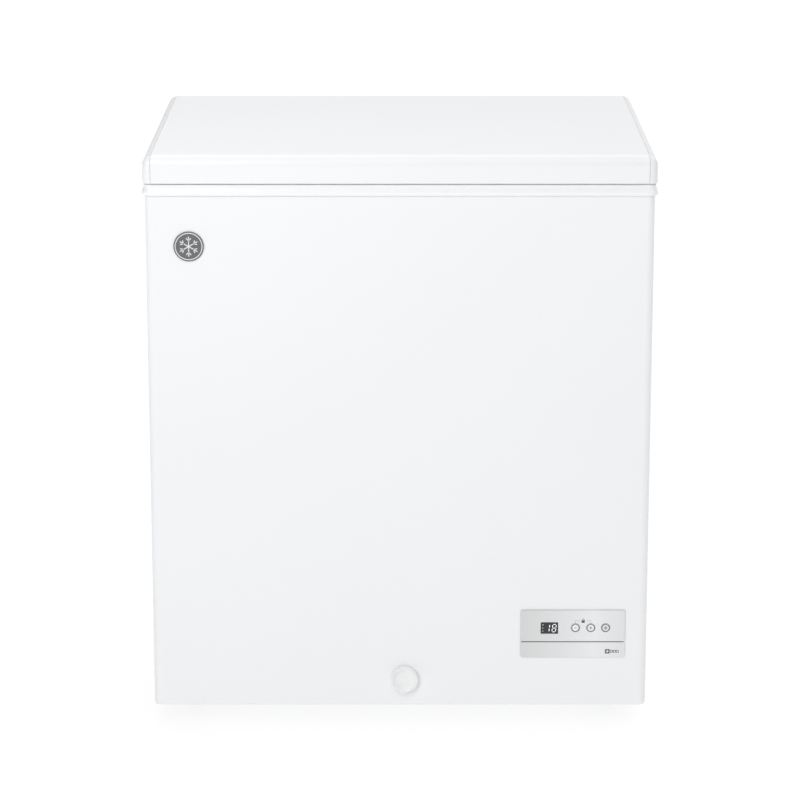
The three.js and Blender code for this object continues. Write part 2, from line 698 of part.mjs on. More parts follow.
function addControls() {
  addPiece("panel_bezel", panelBezel(), "silver_plastic");
  addPiece("display_lens", windowBlock(GAP, -292.2, -290.5), "dark_lens");
  addPiece("display_module", windowBlock(1.5, -290.2, -276.4), "black_plastic");
  for (const [name, x] of Object.entries(KEY_X)) {
    addPiece(name, rod("y", KEY.front, KEY.back, x, KEY.z, KEY.radius), "silver_plastic");
  }
  addPiece("control_board", pocketBlock(POCKET.wall + GAP, -276, -274.4), "board_green");
  addPiece("control_box", controlBox(), "black_plastic");
  addPiece("badge", rod("y", -292.2, -290.3, BADGE.x, BADGE.z, BADGE.radius, 32), "badge_grey");
}

// ---- Drain ----

// The elbow takes water from the well in the tub floor to the front, where the spout slides in it.
function drainElbow() {
  const { x, z, well } = DRAIN;
  const drop = rod("z", z - 14, TUB.floor - SHEET - GAP, x, well, 14.5);
  const run = rod("y", CABINET.front + SHEET + GAP, well + 14, x, z, 15.5);
  const dropBore = rod("z", z, TUB.floor + OVERCUT, x, well, 11.5);
  const runBore = rod("y", CABINET.front - OVERCUT, well + 10, x, z, 12.4);
  return drop.add(run).subtract(dropBore).subtract(runBore);
}

function drainSpout() {
  const profile = [[9.5, -289.9], [12, -289.9], [12, -225], [9.5, -225], [9.5, -289.9]];
  return turned(profile, "y", 20).translate(DRAIN.x, 0, DRAIN.z);
}

function drainCap() {
  const { capFront, capRadius, x, z } = DRAIN;
  const seat = CABINET.front - 0.4;
  const profile = [[0, capFront + 2.4], [14, capFront + 1.6], [17, capFront], [capRadius - 1, capFront + 1]];
  profile.push([capRadius, seat], [9.1, seat], [9.1, seat + 10], [0, seat + 10]);
  return turned(profile, "y", 28).translate(x, 0, z);
}

function drainPlug() {
  const profile = [[0, 80], [10, 80], [10, TUB.floor + GAP], [17, TUB.floor + GAP], [15, 99], [0, 99]];
  return turned(profile, "z", 20).translate(DRAIN.x, DRAIN.well, 0);
}

function addDrain() {
  addPiece("drain_elbow", drainElbow(), "white_plastic");
  addPiece("drain_spout", drainSpout(), "white_plastic");
  addPiece("drain_cap", drainCap(), "white_plastic");
  addPiece("drain_plug", drainPlug(), "white_plastic");
}

// ---- Feet and rollers ----

function levellingFoot(x) {
  const profile = [[0, 0], [FOOT.radius, 0], [FOOT.radius, 6], [10, 12], [10, 18]];
  profile.push([FOOT.stem, 18], [FOOT.stem, FOOT.top], [0, FOOT.top]);
  return turned(profile, "z", 18).translate(x, FOOT.y, 0);
}

function roller(x) {
  const bore = ROLLER.axle + 0.4;
  const { half, radius } = ROLLER;
  const profile = [[bore, -half], [radius - 1, -half], [radius, 1 - half], [radius, half - 1]];
  profile.push([radius - 1, half], [bore, half], [bore, -half]);
  return turned(profile, "x", 24).translate(x, ROLLER.y, ROLLER.radius);
}

// A small fork under the cabinet with the axle fixed between its cheeks.
function rollerBracket(x) {
  const { y, radius, half, axle } = ROLLER;
  const top = CABINET.bottom - GAP;
  const low = 2 * radius + 0.6;
  let bracket = block(x - half - 4, x + half + 4, y - 20, y + 20, low, top);
  const cheek = polygon([[y - 18, low + 1], [y - 7, radius - 4], [y + 7, radius - 4], [y + 18, low + 1]]);
  for (const start of [x - half - 4, x + half + 1.5]) {
    bracket = bracket.add(prism(cheek, "x", start, start + 2.5));
  }
  return bracket.add(rod("x", x - half - 3, x + half + 3, y, radius, axle, 12));
}

function addSupports(name, side) {
  addPiece(`foot_${name}`, levellingFoot(side * FOOT.x), "black_plastic");
  addPiece(`roller_${name}`, roller(side * ROLLER.x), "black_plastic");
  addPiece(`roller_bracket_${name}`, rollerBracket(side * ROLLER.x), "zinc_steel");
}

// ---- Basket ----

// An open tray with four hooks that lie on the collar.
function basket() {
  const { left, right, front, back, bottom, top, wall, corner } = BASKET;
  const outer = prism(roundedRect(left, right, front, back, corner), "z", bottom, top, 3);
  const innerPlan = roundedRect(left + wall, right - wall, front + wall, back - wall, corner - wall);
  let tray = outer.subtract(prism(innerPlan, "z", bottom + wall, top + OVERCUT, 3));
  const hookTop = HOOK.bottom + HOOK.thick;
  for (const x of [left + 35, right - 35 - HOOK.width]) {
    const stemFront = block(x, x + HOOK.width, front - 2, front + 1, top - 20, hookTop);
    const tipFront = block(x, x + HOOK.width, front - 2 - HOOK.reach, front - 1, HOOK.bottom, hookTop);
    const stemBack = block(x, x + HOOK.width, back - 1, back + 2, top - 20, hookTop);
    const tipBack = block(x, x + HOOK.width, back + 1, back + 2 + HOOK.reach, HOOK.bottom, hookTop);
    tray = tray.add(stemFront).add(tipFront).add(stemBack).add(tipBack);
  }
  return tray;
}

addCabinet();
addLid();
addHinge("left", -HINGE_X);
addHinge("right", HINGE_X);
addCooling();
addControls();
addDrain();
addSupports("left", -1);
addSupports("right", 1);
addPiece("basket", basket(), "basket_wire");

export default freezer;
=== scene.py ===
import json
import math

import bmesh
import bpy
from mathutils import Matrix, Vector

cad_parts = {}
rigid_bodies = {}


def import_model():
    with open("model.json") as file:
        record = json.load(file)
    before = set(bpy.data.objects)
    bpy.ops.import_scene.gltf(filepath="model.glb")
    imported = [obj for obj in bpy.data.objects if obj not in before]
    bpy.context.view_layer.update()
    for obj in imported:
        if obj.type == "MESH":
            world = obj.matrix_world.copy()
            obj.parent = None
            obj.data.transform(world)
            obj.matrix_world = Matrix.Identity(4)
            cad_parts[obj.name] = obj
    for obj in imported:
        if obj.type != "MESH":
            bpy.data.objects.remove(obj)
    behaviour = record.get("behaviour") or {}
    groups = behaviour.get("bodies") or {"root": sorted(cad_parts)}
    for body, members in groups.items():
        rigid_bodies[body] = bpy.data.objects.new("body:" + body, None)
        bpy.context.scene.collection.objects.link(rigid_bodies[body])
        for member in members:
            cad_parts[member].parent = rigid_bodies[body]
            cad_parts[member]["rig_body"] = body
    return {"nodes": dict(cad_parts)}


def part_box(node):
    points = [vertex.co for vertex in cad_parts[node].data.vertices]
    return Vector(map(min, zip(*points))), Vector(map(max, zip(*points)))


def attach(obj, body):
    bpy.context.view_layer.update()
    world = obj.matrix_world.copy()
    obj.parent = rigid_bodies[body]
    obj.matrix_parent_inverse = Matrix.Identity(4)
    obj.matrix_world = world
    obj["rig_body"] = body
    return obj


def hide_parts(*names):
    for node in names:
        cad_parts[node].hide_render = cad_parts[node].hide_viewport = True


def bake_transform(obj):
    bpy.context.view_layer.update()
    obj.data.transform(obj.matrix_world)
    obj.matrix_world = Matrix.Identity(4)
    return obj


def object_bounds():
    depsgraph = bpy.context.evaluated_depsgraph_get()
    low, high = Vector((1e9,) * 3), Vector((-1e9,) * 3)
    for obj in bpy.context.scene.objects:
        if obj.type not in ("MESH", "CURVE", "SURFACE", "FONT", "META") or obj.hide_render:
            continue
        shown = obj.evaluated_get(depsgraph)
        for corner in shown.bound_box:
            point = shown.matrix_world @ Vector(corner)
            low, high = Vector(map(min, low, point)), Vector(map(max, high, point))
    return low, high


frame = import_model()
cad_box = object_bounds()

MM = 0.001
NODES = frame["nodes"]
COLLECTION = bpy.context.scene.collection


# ---- Camera, floor and light ----

def make_camera():
    """A long lens in front of the freezer and above it, looking down at the front and the lid."""
    low, high = cad_box
    distance = 4.37
    height = 1.609
    tilt = 14.36
    data = bpy.data.cameras.new("camera")
    data.sensor_width = 36
    data.lens = 141.5
    data.clip_end = 100
    camera = bpy.data.objects.new("camera", data)
    shell_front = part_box("outer_shell")[0].y
    camera.location = ((low.x + high.x) / 2, shell_front - distance, height)
    camera.rotation_euler = (math.radians(90 - tilt), 0, 0)
    COLLECTION.objects.link(camera)
    bpy.context.scene.camera = camera


def set_ramp(ramp, stops):
    """stops are (position, colour), a colour being a grey or three numbers."""
    elements = ramp.color_ramp.elements
    while len(elements) < len(stops):
        elements.new(0.5)
    for element, (position, colour) in zip(elements, stops):
        element.position = position
        element.color = (*((colour,) * 3 if isinstance(colour, float) else colour), 1)


def make_world():
    """A white studio, brightest overhead and behind, with a brighter band to each side and dark beyond it.

    It is dimmer on the left, where the key light stands. Seen directly, it is white all round.
    """
    world = bpy.data.worlds.new("studio")
    world.use_nodes = True
    tree = world.node_tree
    place = tree.nodes.new("ShaderNodeTexCoord")
    split = tree.nodes.new("ShaderNodeSeparateXYZ")
    tree.links.new(place.outputs["Generated"], split.inputs[0])

    def maths(operation, first, second):
        node = tree.nodes.new("ShaderNodeMath")
        node.operation = operation
        for socket, value in zip(node.inputs, (first, second)):
            if isinstance(value, float):
                socket.default_value = value
            else:
                tree.links.new(value, socket)
        return node.outputs[0]

    def shades(source, stops):
        ramp = tree.nodes.new("ShaderNodeValToRGB")
        set_ramp(ramp, stops)
        tree.links.new(source, ramp.inputs[0])
        return ramp.outputs["Color"]

    x, y, z = split.outputs
    bands = [(0.2, 0.7), (0.38, 1.0), (0.55, 0.85), (0.8, 0.3), (1.0, 0.2)]
    sideways = shades(maths("MULTIPLY", x, x), bands)
    upward = shades(z, [(0.0, 0.44), (0.25, 0.68), (0.7, 1.0), (1.0, 1.0)])
    backward = shades(maths("ADD", y, 0.2), [(0.0, 0.33), (0.4, 1.0)])
    leftward = shades(maths("ADD", maths("MULTIPLY", x, 0.5), 0.5), [(0.2, 0.2), (0.42, 1.0)])
    strength = maths("MULTIPLY", maths("MULTIPLY", sideways, upward), maths("MULTIPLY", backward, leftward))
    background = tree.nodes["Background"]
    background.inputs["Color"].default_value = (1.0, 1.0, 1.012, 1)
    brightness, backdrop = 2.03, 1.05
    seen = maths("MULTIPLY", tree.nodes.new("ShaderNodeLightPath").outputs["Is Camera Ray"], backdrop)
    lit = maths("MULTIPLY", strength, brightness)
    tree.links.new(maths("MAXIMUM", lit, seen), background.inputs["Strength"])
    bpy.context.scene.world = world


def make_lights():
    """A key light from the upper left and in front, a weak broad fill from overhead and a softbox."""
    data = bpy.data.lights
    key, fill, softbox = data.new("key", "SUN"), data.new("fill", "SUN"), data.new("softbox", "AREA")
    key.angle, fill.angle = math.radians(12), math.radians(40)
    softbox.shape = "DISK"
    softbox.size = 0.8
    aims = [
        (key, 0.62, (-0.6, -0.8, 0.42), (0, 0, 0)),
        (fill, 0.36, (0.3, -0.6, 1), (0, 0, 0)),
        (softbox, 9, (-0.7, -1.7, 1.8), (-0.3, -0.3, 0.7)),
    ]
    for lamp, energy, place, aim in aims:
        lamp.energy = energy
        light = bpy.data.objects.new(lamp.name, lamp)
        light.location = place
        light.rotation_euler = (Vector(aim) - Vector(place)).to_track_quat("-Z", "Y").to_euler()
        COLLECTION.objects.link(light)


def make_stage():
    """A plain pale floor that runs out of sight, lit from below as a light table is."""
    reach = 40
    mesh = bpy.data.meshes.new("floor")
    corners = [(-reach, -reach, 0), (reach, -reach, 0), (reach, reach, 0), (-reach, reach, 0)]
    mesh.from_pydata(corners, [], [(0, 1, 2, 3)])
    floor = bpy.data.objects.new("floor", mesh)
    COLLECTION.objects.link(floor)
    pale = bpy.data.materials.new("pale_floor")
    pale.use_nodes = True
    shader = pale.node_tree.nodes["Principled BSDF"]
    shader.inputs["Base Color"].default_value = (0.14, 0.14, 0.14, 1)
    shader.inputs["Emission Color"].default_value = (1, 1, 1, 1)
    shader.inputs["Emission Strength"].default_value = 0.855
    shader.inputs["Roughness"].default_value = 0.6
    shader.inputs["Specular IOR Level"].default_value = 0.2
    mesh.materials.append(pale)


bpy.context.scene.view_settings.view_transform = "Standard"
make_camera()
make_world()
make_lights()
make_stage()


# ---- Materials ----

class Shader:
    """A Principled material whose colour, roughness and relief come from procedural textures."""

    def __init__(self, name, roughness, metallic=0.0, coat=0.0):
        self.material = bpy.data.materials.new(name)
        self.material.use_nodes = True
        self.tree = self.material.node_tree
        self.surface = self.tree.nodes["Principled BSDF"]
        self.set("Roughness", roughness)
        self.set("Metallic", metallic)
        self.set("Coat Weight", coat)
        self.set("Coat Roughness", 0.08)
        self.set("Specular IOR Level", 0.5)
        self.place = self.node("ShaderNodeTexCoord").outputs["Object"]

    def set(self, socket, value):
        self.surface.inputs[socket].default_value = value

    def node(self, kind, **values):
        made = self.tree.nodes.new(kind)
        for key, value in values.items():
            setattr(made, key, value)
        return made

    def link(self, source, target):
        self.tree.links.new(source, target)

    def noise(self, scale, detail=3.0, stretch=(1, 1, 1)):
        spread = self.node("ShaderNodeMapping")
        spread.inputs["Scale"].default_value = stretch
        self.link(self.place, spread.inputs["Vector"])
        noise = self.node("ShaderNodeTexNoise")
        noise.inputs["Scale"].default_value = scale
        noise.inputs["Detail"].default_value = detail
        self.link(spread.outputs[0], noise.inputs["Vector"])
        return noise.outputs["Fac"]

    def cells(self, scale, output="Distance", smooth=False):
        cells = self.node("ShaderNodeTexVoronoi")
        cells.feature = "SMOOTH_F1" if smooth else "F1"
        cells.inputs["Scale"].default_value = scale
        self.link(self.place, cells.inputs["Vector"])
        return cells.outputs[output]

    def ramp(self, factor, stops):
        ramp = self.node("ShaderNodeValToRGB")
        set_ramp(ramp, stops)
        self.link(factor, ramp.inputs[0])
        return ramp.outputs["Color"]

    def colour(self, source):
        self.link(source, self.surface.inputs["Base Color"])

    def roughness(self, factor, low, high):
        reach = self.node("ShaderNodeMapRange")
        reach.inputs["To Min"].default_value = low
        reach.inputs["To Max"].default_value = high
        self.link(factor, reach.inputs["Value"])
        self.link(reach.outputs["Result"], self.surface.inputs["Roughness"])

    def bump(self, height, strength, distance):
        """Adds relief of that many metres, on top of any relief already there."""
        bump = self.node("ShaderNodeBump")
        bump.inputs["Strength"].default_value = strength
        bump.inputs["Distance"].default_value = distance
        self.link(height, bump.inputs["Height"])
        normal = self.surface.inputs["Normal"]
        if normal.is_linked:
            self.link(normal.links[0].from_socket, bump.inputs["Normal"])
        self.link(bump.outputs["Normal"], normal)


def mottled(name, colour, spread, scale, rough, relief, metallic=0.0, coat=0.0):
    """A finish with uneven tone and roughness and a fine relief. relief is (scale, strength, metres)."""
    shader = Shader(name, rough[0], metallic, coat)
    dark = tuple(c * (1 - spread) for c in colour)
    light = tuple(min(1.0, c * (1 + spread)) for c in colour)
    tone = shader.noise(scale, 4.0)
    shader.colour(shader.ramp(tone, [(0.1, dark), (0.9, light)]))
    shader.roughness(shader.noise(scale * 2.3, 3.0), rough[0], rough[1])
    shader.bump(shader.noise(relief[0], 2.0), relief[1], relief[2])
    return shader


def inner_plastic():
    """The lid's vacuum-formed lining."""
    shader = mottled("inner_plastic", (0.88, 0.885, 0.885), 0.01, 4.0, (0.32, 0.45), (600, 0.1, 0.0001))
    shader.bump(shader.noise(22, 2.0), 0.12, 0.0008)
    return shader.material


def stucco_metal():
    """Embossed aluminium sheet: shallow rounded cells with a bright crest."""
    shader = Shader("stucco_metal", 0.34, 0.6)
    crest = shader.cells(230, smooth=True)
    tone = shader.noise(6, 4.0)
    shader.colour(shader.ramp(tone, [(0.25, (0.8, 0.81, 0.82)), (0.75, (0.88, 0.885, 0.89))]))
    shader.roughness(shader.noise(40, 3.0), 0.3, 0.46)
    shader.bump(crest, 0.55, 0.0009)
    shader.bump(shader.noise(1400, 2.0), 0.08, 0.0001)
    return shader.material


def zinc_metal():
    """Hot-dip zinc with a soft spangle."""
    shader = Shader("zinc_metal", 0.42, 0.85)
    spangle = shader.cells(150, output="Color")
    grey = shader.node("ShaderNodeRGBToBW")
    shader.link(spangle, grey.inputs[0])
    shader.colour(shader.ramp(grey.outputs[0], [(0.1, (0.6, 0.612, 0.62)), (0.9, (0.655, 0.665, 0.675))]))
    shader.roughness(grey.outputs[0], 0.4, 0.48)
    shader.bump(shader.noise(300, 3.0), 0.12, 0.0001)
    return shader.material


def brushed_metal():
    shader = Shader("brushed_metal", 0.3, 0.95)
    grain = shader.noise(60, 4.0, (40, 1, 1))
    shader.colour(shader.ramp(grain, [(0.3, (0.58, 0.59, 0.6)), (0.7, (0.7, 0.71, 0.72))]))
    shader.roughness(grain, 0.29, 0.42)
    shader.bump(grain, 0.1, 0.0001)
    return shader.material


def copper():
    shader = Shader("copper", 0.3, 1.0)
    tarnish = shader.noise(35, 5.0)
    shader.colour(shader.ramp(tarnish, [
        (0.3, (0.42, 0.2, 0.12)), (0.55, (0.72, 0.4, 0.26)), (0.8, (0.8, 0.5, 0.36)),
    ]))
    shader.roughness(tarnish, 0.45, 0.29)
    shader.bump(shader.noise(500, 2.0), 0.1, 0.0001)
    return shader.material


def rigid_foam():
    shader = Shader("rigid_foam", 0.95)
    pores = shader.cells(520)
    shader.colour(shader.ramp(pores, [(0.0, (0.62, 0.53, 0.28)), (0.45, (0.87, 0.79, 0.52))]))
    shader.bump(pores, 0.7, 0.0006)
    shader.bump(shader.noise(30, 4.0), 0.4, 0.003)
    return shader.material


def pearl_painted_sheen():
    """Silver lacquer with metal flakes under a clear coat, with a painted highlight that makes it lighter
    across the middle.
    """
    shader = Shader("pearl_painted_sheen", 0.3, 0.35, coat=0.4)
    split = shader.node("ShaderNodeSeparateXYZ")
    shader.link(shader.place, split.inputs[0])
    low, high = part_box("panel_bezel")
    across = shader.node("ShaderNodeMapRange")
    across.inputs["From Min"].default_value = low.x
    across.inputs["From Max"].default_value = high.x
    shader.link(split.outputs["X"], across.inputs["Value"])
    # A painted highlight band across the panel, lightest just right of the middle.
    painted_sheen = shader.ramp(across.outputs[0], [
        (0.0, (0.68, 0.685, 0.685)), (0.35, (0.76, 0.77, 0.775)), (0.7, (0.85, 0.86, 0.865)),
        (1.0, (0.77, 0.78, 0.785)),
    ])
    flakes = shader.ramp(shader.cells(2600), [(0.1, 0.9), (0.6, 1.0)])
    blend = shader.node("ShaderNodeMix", data_type="RGBA", blend_type="MULTIPLY")
    blend.inputs["Factor"].default_value = 0.6
    shader.link(painted_sheen, blend.inputs["A"])
    shader.link(flakes, blend.inputs["B"])
    shader.colour(blend.outputs["Result"])
    shader.bump(shader.noise(2200, 1.0), 0.05, 0.0001)
    return shader.material


def glowing(name, colour, strength):
    shader = mottled(name, colour, 0.02, 400, (0.3, 0.4), (900, 0.02, 0.0001))
    shader.set("Emission Color", (*colour, 1))
    shader.set("Emission Strength", strength)
    return shader.material


MATERIALS = {
    "inner_plastic": inner_plastic(),
    "stucco_metal": stucco_metal(),
    "zinc_metal": zinc_metal(),
    "brushed_metal": brushed_metal(),
    "copper": copper(),
    "rigid_foam": rigid_foam(),
    "pearl_painted_sheen": pearl_painted_sheen(),
    "digits": glowing("digits", (0.85, 0.88, 0.9), 0.55),
}
# Mottled finishes: colour, spread of tone, scale of the mottling, roughness, relief and the rest.
METAL, GLOSS = "metallic", "coat"
FINISHES = [
    ("white_paint", (0.893, 0.905, 0.92), 0.008, 3, (0.29, 0.35), (420, 0.02, 0.0001), {GLOSS: 0.35}),
    ("trim_plastic", (0.885, 0.888, 0.89), 0.008, 5, (0.3, 0.42), (900, 0.08, 0.0001), {GLOSS: 0.1}),
    # The collar's white is lighter than the trim plastic: painted light against the shade under the lid.
    ("collar_plastic", (0.925, 0.93, 0.935), 0.008, 5, (0.29, 0.36), (900, 0.06, 0.0001), {GLOSS: 0.3}),
    ("hinge_zinc", (0.7, 0.7, 0.69), 0.05, 45, (0.3, 0.4), (420, 0.06, 0.0001), {METAL: 0.85}),
    ("gasket", (0.78, 0.785, 0.79), 0.03, 25, (0.6, 0.75), (700, 0.2, 0.0001), {}),
    ("black_enamel", (0.022, 0.022, 0.025), 0.2, 30, (0.3, 0.45), (350, 0.15, 0.0002), {}),
    ("black_grain", (0.035, 0.035, 0.038), 0.15, 60, (0.5, 0.65), (1500, 0.35, 0.0002), {}),
    ("black_rubber", (0.02, 0.02, 0.021), 0.2, 50, (0.7, 0.85), (900, 0.3, 0.0002), {}),
    # Dark grey for print, and for the strip of painted shade in the panel's seam.
    ("print_grey", (0.07, 0.07, 0.075), 0.08, 300, (0.4, 0.5), (900, 0.05, 0.0001), {}),
    ("badge_grey", (0.14, 0.14, 0.145), 0.06, 120, (0.29, 0.36), (900, 0.05, 0.0001),
     {METAL: 0.3, GLOSS: 0.5}),
    ("bright_ring", (0.8, 0.81, 0.82), 0.02, 120, (0.29, 0.36), (900, 0.05, 0.0001), {METAL: 0.4}),
    ("key_white", (0.9, 0.905, 0.91), 0.01, 120, (0.3, 0.4), (1200, 0.05, 0.0001), {}),
    ("smoked_lens", (0.006, 0.006, 0.008), 0.2, 90, (0.08, 0.14), (900, 0.01, 0.0001), {GLOSS: 0.5}),
    ("board_green", (0.03, 0.16, 0.07), 0.2, 200, (0.4, 0.6), (700, 0.3, 0.0002), {}),
    ("wire_coating", (0.86, 0.865, 0.865), 0.015, 60, (0.29, 0.4), (300, 0.12, 0.0003), {GLOSS: 0.2}),
]
for name, *look, others in FINISHES:
    MATERIALS[name] = mottled(name, *look, **others).material


# ---- Mesh building ----

# Shapes are built in millimetres, as the CAD is. Only a mesh and its modifiers are in metres.

def box(node):
    return tuple(Vector(round(size / MM, 4) for size in corner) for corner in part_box(node))


def rework(mesh, change):
    """Runs a change on a mesh, as a bmesh."""
    work = bmesh.new()
    work.from_mesh(mesh)
    change(work)
    work.to_mesh(mesh)
    work.free()


def bare_mesh(name, shape):
    def close_up(work):
        bmesh.ops.remove_doubles(work, verts=work.verts, dist=1e-6)
        bmesh.ops.recalc_face_normals(work, faces=work.faces)

    points, faces = shape
    mesh = bpy.data.meshes.new(name)
    mesh.from_pydata([tuple(size * MM for size in point) for point in points], [], faces)
    rework(mesh, close_up)
    made = bpy.data.objects.new(name, mesh)
    COLLECTION.objects.link(made)
    return made


def piece(name, shape, finish, body="cabinet", replaced=()):
    """A mesh piece that rides on a body and stands for the CAD node, or nodes, that it replaces."""
    made = bare_mesh(name, shape)
    made.data.materials.append(MATERIALS[finish])
    soften(made.data)
    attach(made, body)
    if replaced:
        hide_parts(*([replaced] if isinstance(replaced, str) else replaced))
    return made


def soften(mesh, angle=32):
    mesh.shade_smooth()
    mesh.set_sharp_from_angle(angle=math.radians(angle))


def apply_modifiers(made):
    """Makes the result of a piece's modifiers its own mesh."""
    graph = bpy.context.evaluated_depsgraph_get()
    mesh = bpy.data.meshes.new_from_object(made.evaluated_get(graph))
    rework(mesh, lambda work: bmesh.ops.dissolve_degenerate(work, edges=work.edges, dist=2e-6))
    made.modifiers.clear()
    made.data = mesh
    soften(mesh)


def add_bevel(made, width, segments, angle):
    modifier = made.modifiers.new("bevel", "BEVEL")
    modifier.width = width * MM
    modifier.segments = segments
    modifier.limit_method = "ANGLE"
    modifier.angle_limit = math.radians(angle)
    modifier.use_clamp_overlap = True


def bevel(made, width, segments):
    add_bevel(made, width, segments, 60)
    apply_modifiers(made)


def thicken(made, thickness):
    modifier = made.modifiers.new("thickness", "SOLIDIFY")
    modifier.thickness = thickness * MM
    modifier.offset = 1
    apply_modifiers(made)


def remove_faces(made, unwanted):
    """Deletes the faces whose centre the test picks."""
    def weed(work):
        faces = [face for face in work.faces if unwanted(face.calc_center_median() / MM)]
        bmesh.ops.delete(work, geom=faces, context="FACES")

    rework(made.data, weed)


def cut(made, cutters, operation="DIFFERENCE"):
    """Cuts away bare shapes and forgets them."""
    for shape in cutters:
        cutter = bare_mesh("cutter", shape)
        modifier = made.modifiers.new("cut", "BOOLEAN")
        modifier.operation = operation
        modifier.solver = "EXACT"
        modifier.object = cutter
        apply_modifiers(made)
        bpy.data.objects.remove(cutter)


def box_shape(x0, x1, y0, y1, z0, z1):
    points = [(x, y, z) for z in (z0, z1) for x, y in ((x0, y0), (x1, y0), (x1, y1), (x0, y1))]
    faces = [(0, 1, 2, 3), (4, 5, 6, 7), (0, 1, 5, 4), (1, 2, 6, 5), (2, 3, 7, 6), (3, 0, 4, 7)]
    return points, faces


# Ways to stand a flat outline (u, v) with a height h out of its plane.
UP = lambda u, v, h: (u, v, h)
FRONT = lambda u, v, h: (u, h, v)


def rounded_loop(rect, radii, steps):
    """Points round a rectangle. radii are those of its low-v and its high-v corners."""
    u0, u1, v0, v1 = rect
    low, high = radii
    corners = [
        (u1 - low, v0 + low, low, 270), (u1 - high, v1 - high, high, 0),
        (u0 + high, v1 - high, high, 90), (u0 + low, v0 + low, low, 180),
    ]
    return [spot for u, v, radius, start in corners for spot in arc(u, v, radius, start, start + 90, steps)]


def front_rect(low, high):
    return (low.x, high.x, low.z, high.z)


def front_hole(low, high, room, start, end):
    """A block for cutting a hole from the front, as wide and high as a box and some room."""
    left, right, foot, top = grown(front_rect(low, high), room)
    return box_shape(left, right, start, end, foot, top)


def grown(rect, grow):
    u0, u1, v0, v1 = rect
    return (u0 - grow, u1 + grow, v0 - grow, v1 + grow)


def skin(loops, closed=False, caps=True):
    """Faces over a stack of loops with equally many points. A closed stack comes round to its first loop."""
    count = len(loops[0])
    rows = len(loops)
    points = [point for loop in loops for point in loop]
    faces = []
    for row in range(rows if closed else rows - 1):
        here, there = row * count, (row + 1) % rows * count
        for i in range(count):
            j = (i + 1) % count
            faces.append((here + i, here + j, there + j, there + i))
    if caps and not closed:
        faces.append(tuple(range(count)))
        faces.append(tuple(range((rows - 1) * count, rows * count)))
    return points, faces


SHARPEST = 0.2


def loft_loops(rect, radii, sections, steps=8, stand=UP):
    """Rounded rectangles, one for each (grow, height). radii are as in rounded_loop, or one for all."""
    pair = radii if isinstance(radii, tuple) else (radii, radii)
    loops = []
    for grow, height in sections:
        round_off = [max(radius + grow, SHARPEST) for radius in pair]
        loops.append([stand(u, v, height) for u, v in rounded_loop(grown(rect, grow), round_off, steps)])
    return loops


def loft_shape(rect, radii, sections, steps=8, stand=UP, closed=False):
    return skin(loft_loops(rect, radii, sections, steps, stand), closed)


def lathe_shape(profile, centre, axis="z", steps=48):
    """(radius, height) pairs turned round an axis through centre.

    The profile starts and ends on the axis, or comes back to its first point.
    """
    turn = {
        "z": lambda a, b, h: (a, b, h),
        "y": lambda a, b, h: (a, h, b),
        "x": lambda a, b, h: (h, a, b),
    }[axis]
    ring = profile[0] == profile[-1]
    loops = []
    for radius, height in profile[:-1] if ring else profile:
        circle = [turn(u, v, height) for u, v in arc(0, 0, radius, 0, 360, steps)[:-1]]
        loops.append([tuple(c + s for c, s in zip(centre, spot)) for spot in circle])
    return skin(loops, closed=ring, caps=False)


def drill_shape(radius, start, end, centre, axis="y"):
    return lathe_shape([(0, start), (radius, start), (radius, end), (0, end)], centre, axis)


def shifted(profile, start):
    """A profile whose heights are measured from start."""
    return [(radius, start + height) for radius, height in profile]


def turned(name, profile, spot, axis, steps, finish, body="cabinet", replaced=()):
    """A piece turned round the axis that runs through spot."""
    foot = [0 if letter == axis else size for letter, size in zip("xyz", spot)]
    return piece(name, lathe_shape(profile, foot, axis, steps), finish, body, replaced)


def arc(centre_a, centre_b, radius, start, end, steps=6):
    """Points on an arc, as pairs, from one angle in degrees to another."""
    made = []
    for i in range(steps + 1):
        angle = math.radians(start + (end - start) * i / steps)
        made.append((centre_a + radius * math.cos(angle), centre_b + radius * math.sin(angle)))
    return made


def joined(shapes):
    points, faces = [], []
    for more_points, more_faces in shapes:
        base = len(points)
        points += more_points
        faces += [tuple(base + i for i in face) for face in more_faces]
    return points, faces


def tube_shape(path, radius, sides=8, closed=False):
    """A round tube along a path. Its section is carried along without twisting."""
    spots = [Vector(spot) for spot in path]
    count = len(spots)
    side = None
    loops = []
    for i, spot in enumerate(spots):
        before = spots[i - 1] if i or closed else spot
        after = spots[(i + 1) % count] if i < count - 1 or closed else spot
        ahead = (after - before).normalized()
        if side is None:
            side = ahead.orthogonal().normalized()
        side = (side - ahead * side.dot(ahead)).normalized()
        up = ahead.cross(side)
        loops.append([spot + side * u + up * v for u, v in arc(0, 0, radius, 0, 360, sides)[:-1]])
    return skin(loops, closed)


def bent_path(corners, bend, steps=5):
    """Straight runs joined by round corners."""
    spots = [Vector(c) for c in corners]
    path = [spots[0]]
    for before, here, after in zip(spots, spots[1:], spots[2:]):
        reach = min(bend, (before - here).length * 0.48, (after - here).length * 0.48)
        start = here + (before - here).normalized() * reach
        end = here + (after - here).normalized() * reach
        for i in range(steps + 1):
            t = i / steps
            path.append(start * (1 - t) ** 2 + here * 2 * t * (1 - t) + end * t ** 2)
    path.append(spots[-1])
    return path


def finished(node, finish):
    """A CAD node that is kept, in its finish and with its doubled points welded."""
    made = NODES[node]
    made.data.materials.clear()
    made.data.materials.append(MATERIALS[finish])
    made.data.shade_smooth()
    made.modifiers.new("weld", "WELD").merge_threshold = 0.02 * MM
    return made


def refine(node, finish, width, segments=2):
    """Keeps a CAD node and rounds its edges."""
    made = finished(node, finish)
    flatten = made.modifiers.new("flatten", "DECIMATE")
    flatten.decimate_type = "DISSOLVE"
    flatten.angle_limit = math.radians(1)
    if width:
        add_bevel(made, width, segments, 35)
    made.modifiers.new("normals", "WEIGHTED_NORMAL")


def smooth_tube(node, finish):
    """Keeps a CAD tube and rounds it."""
    smooth = finished(node, finish).modifiers.new("smooth", "SUBSURF")
    smooth.levels = 2
    smooth.render_levels = 2


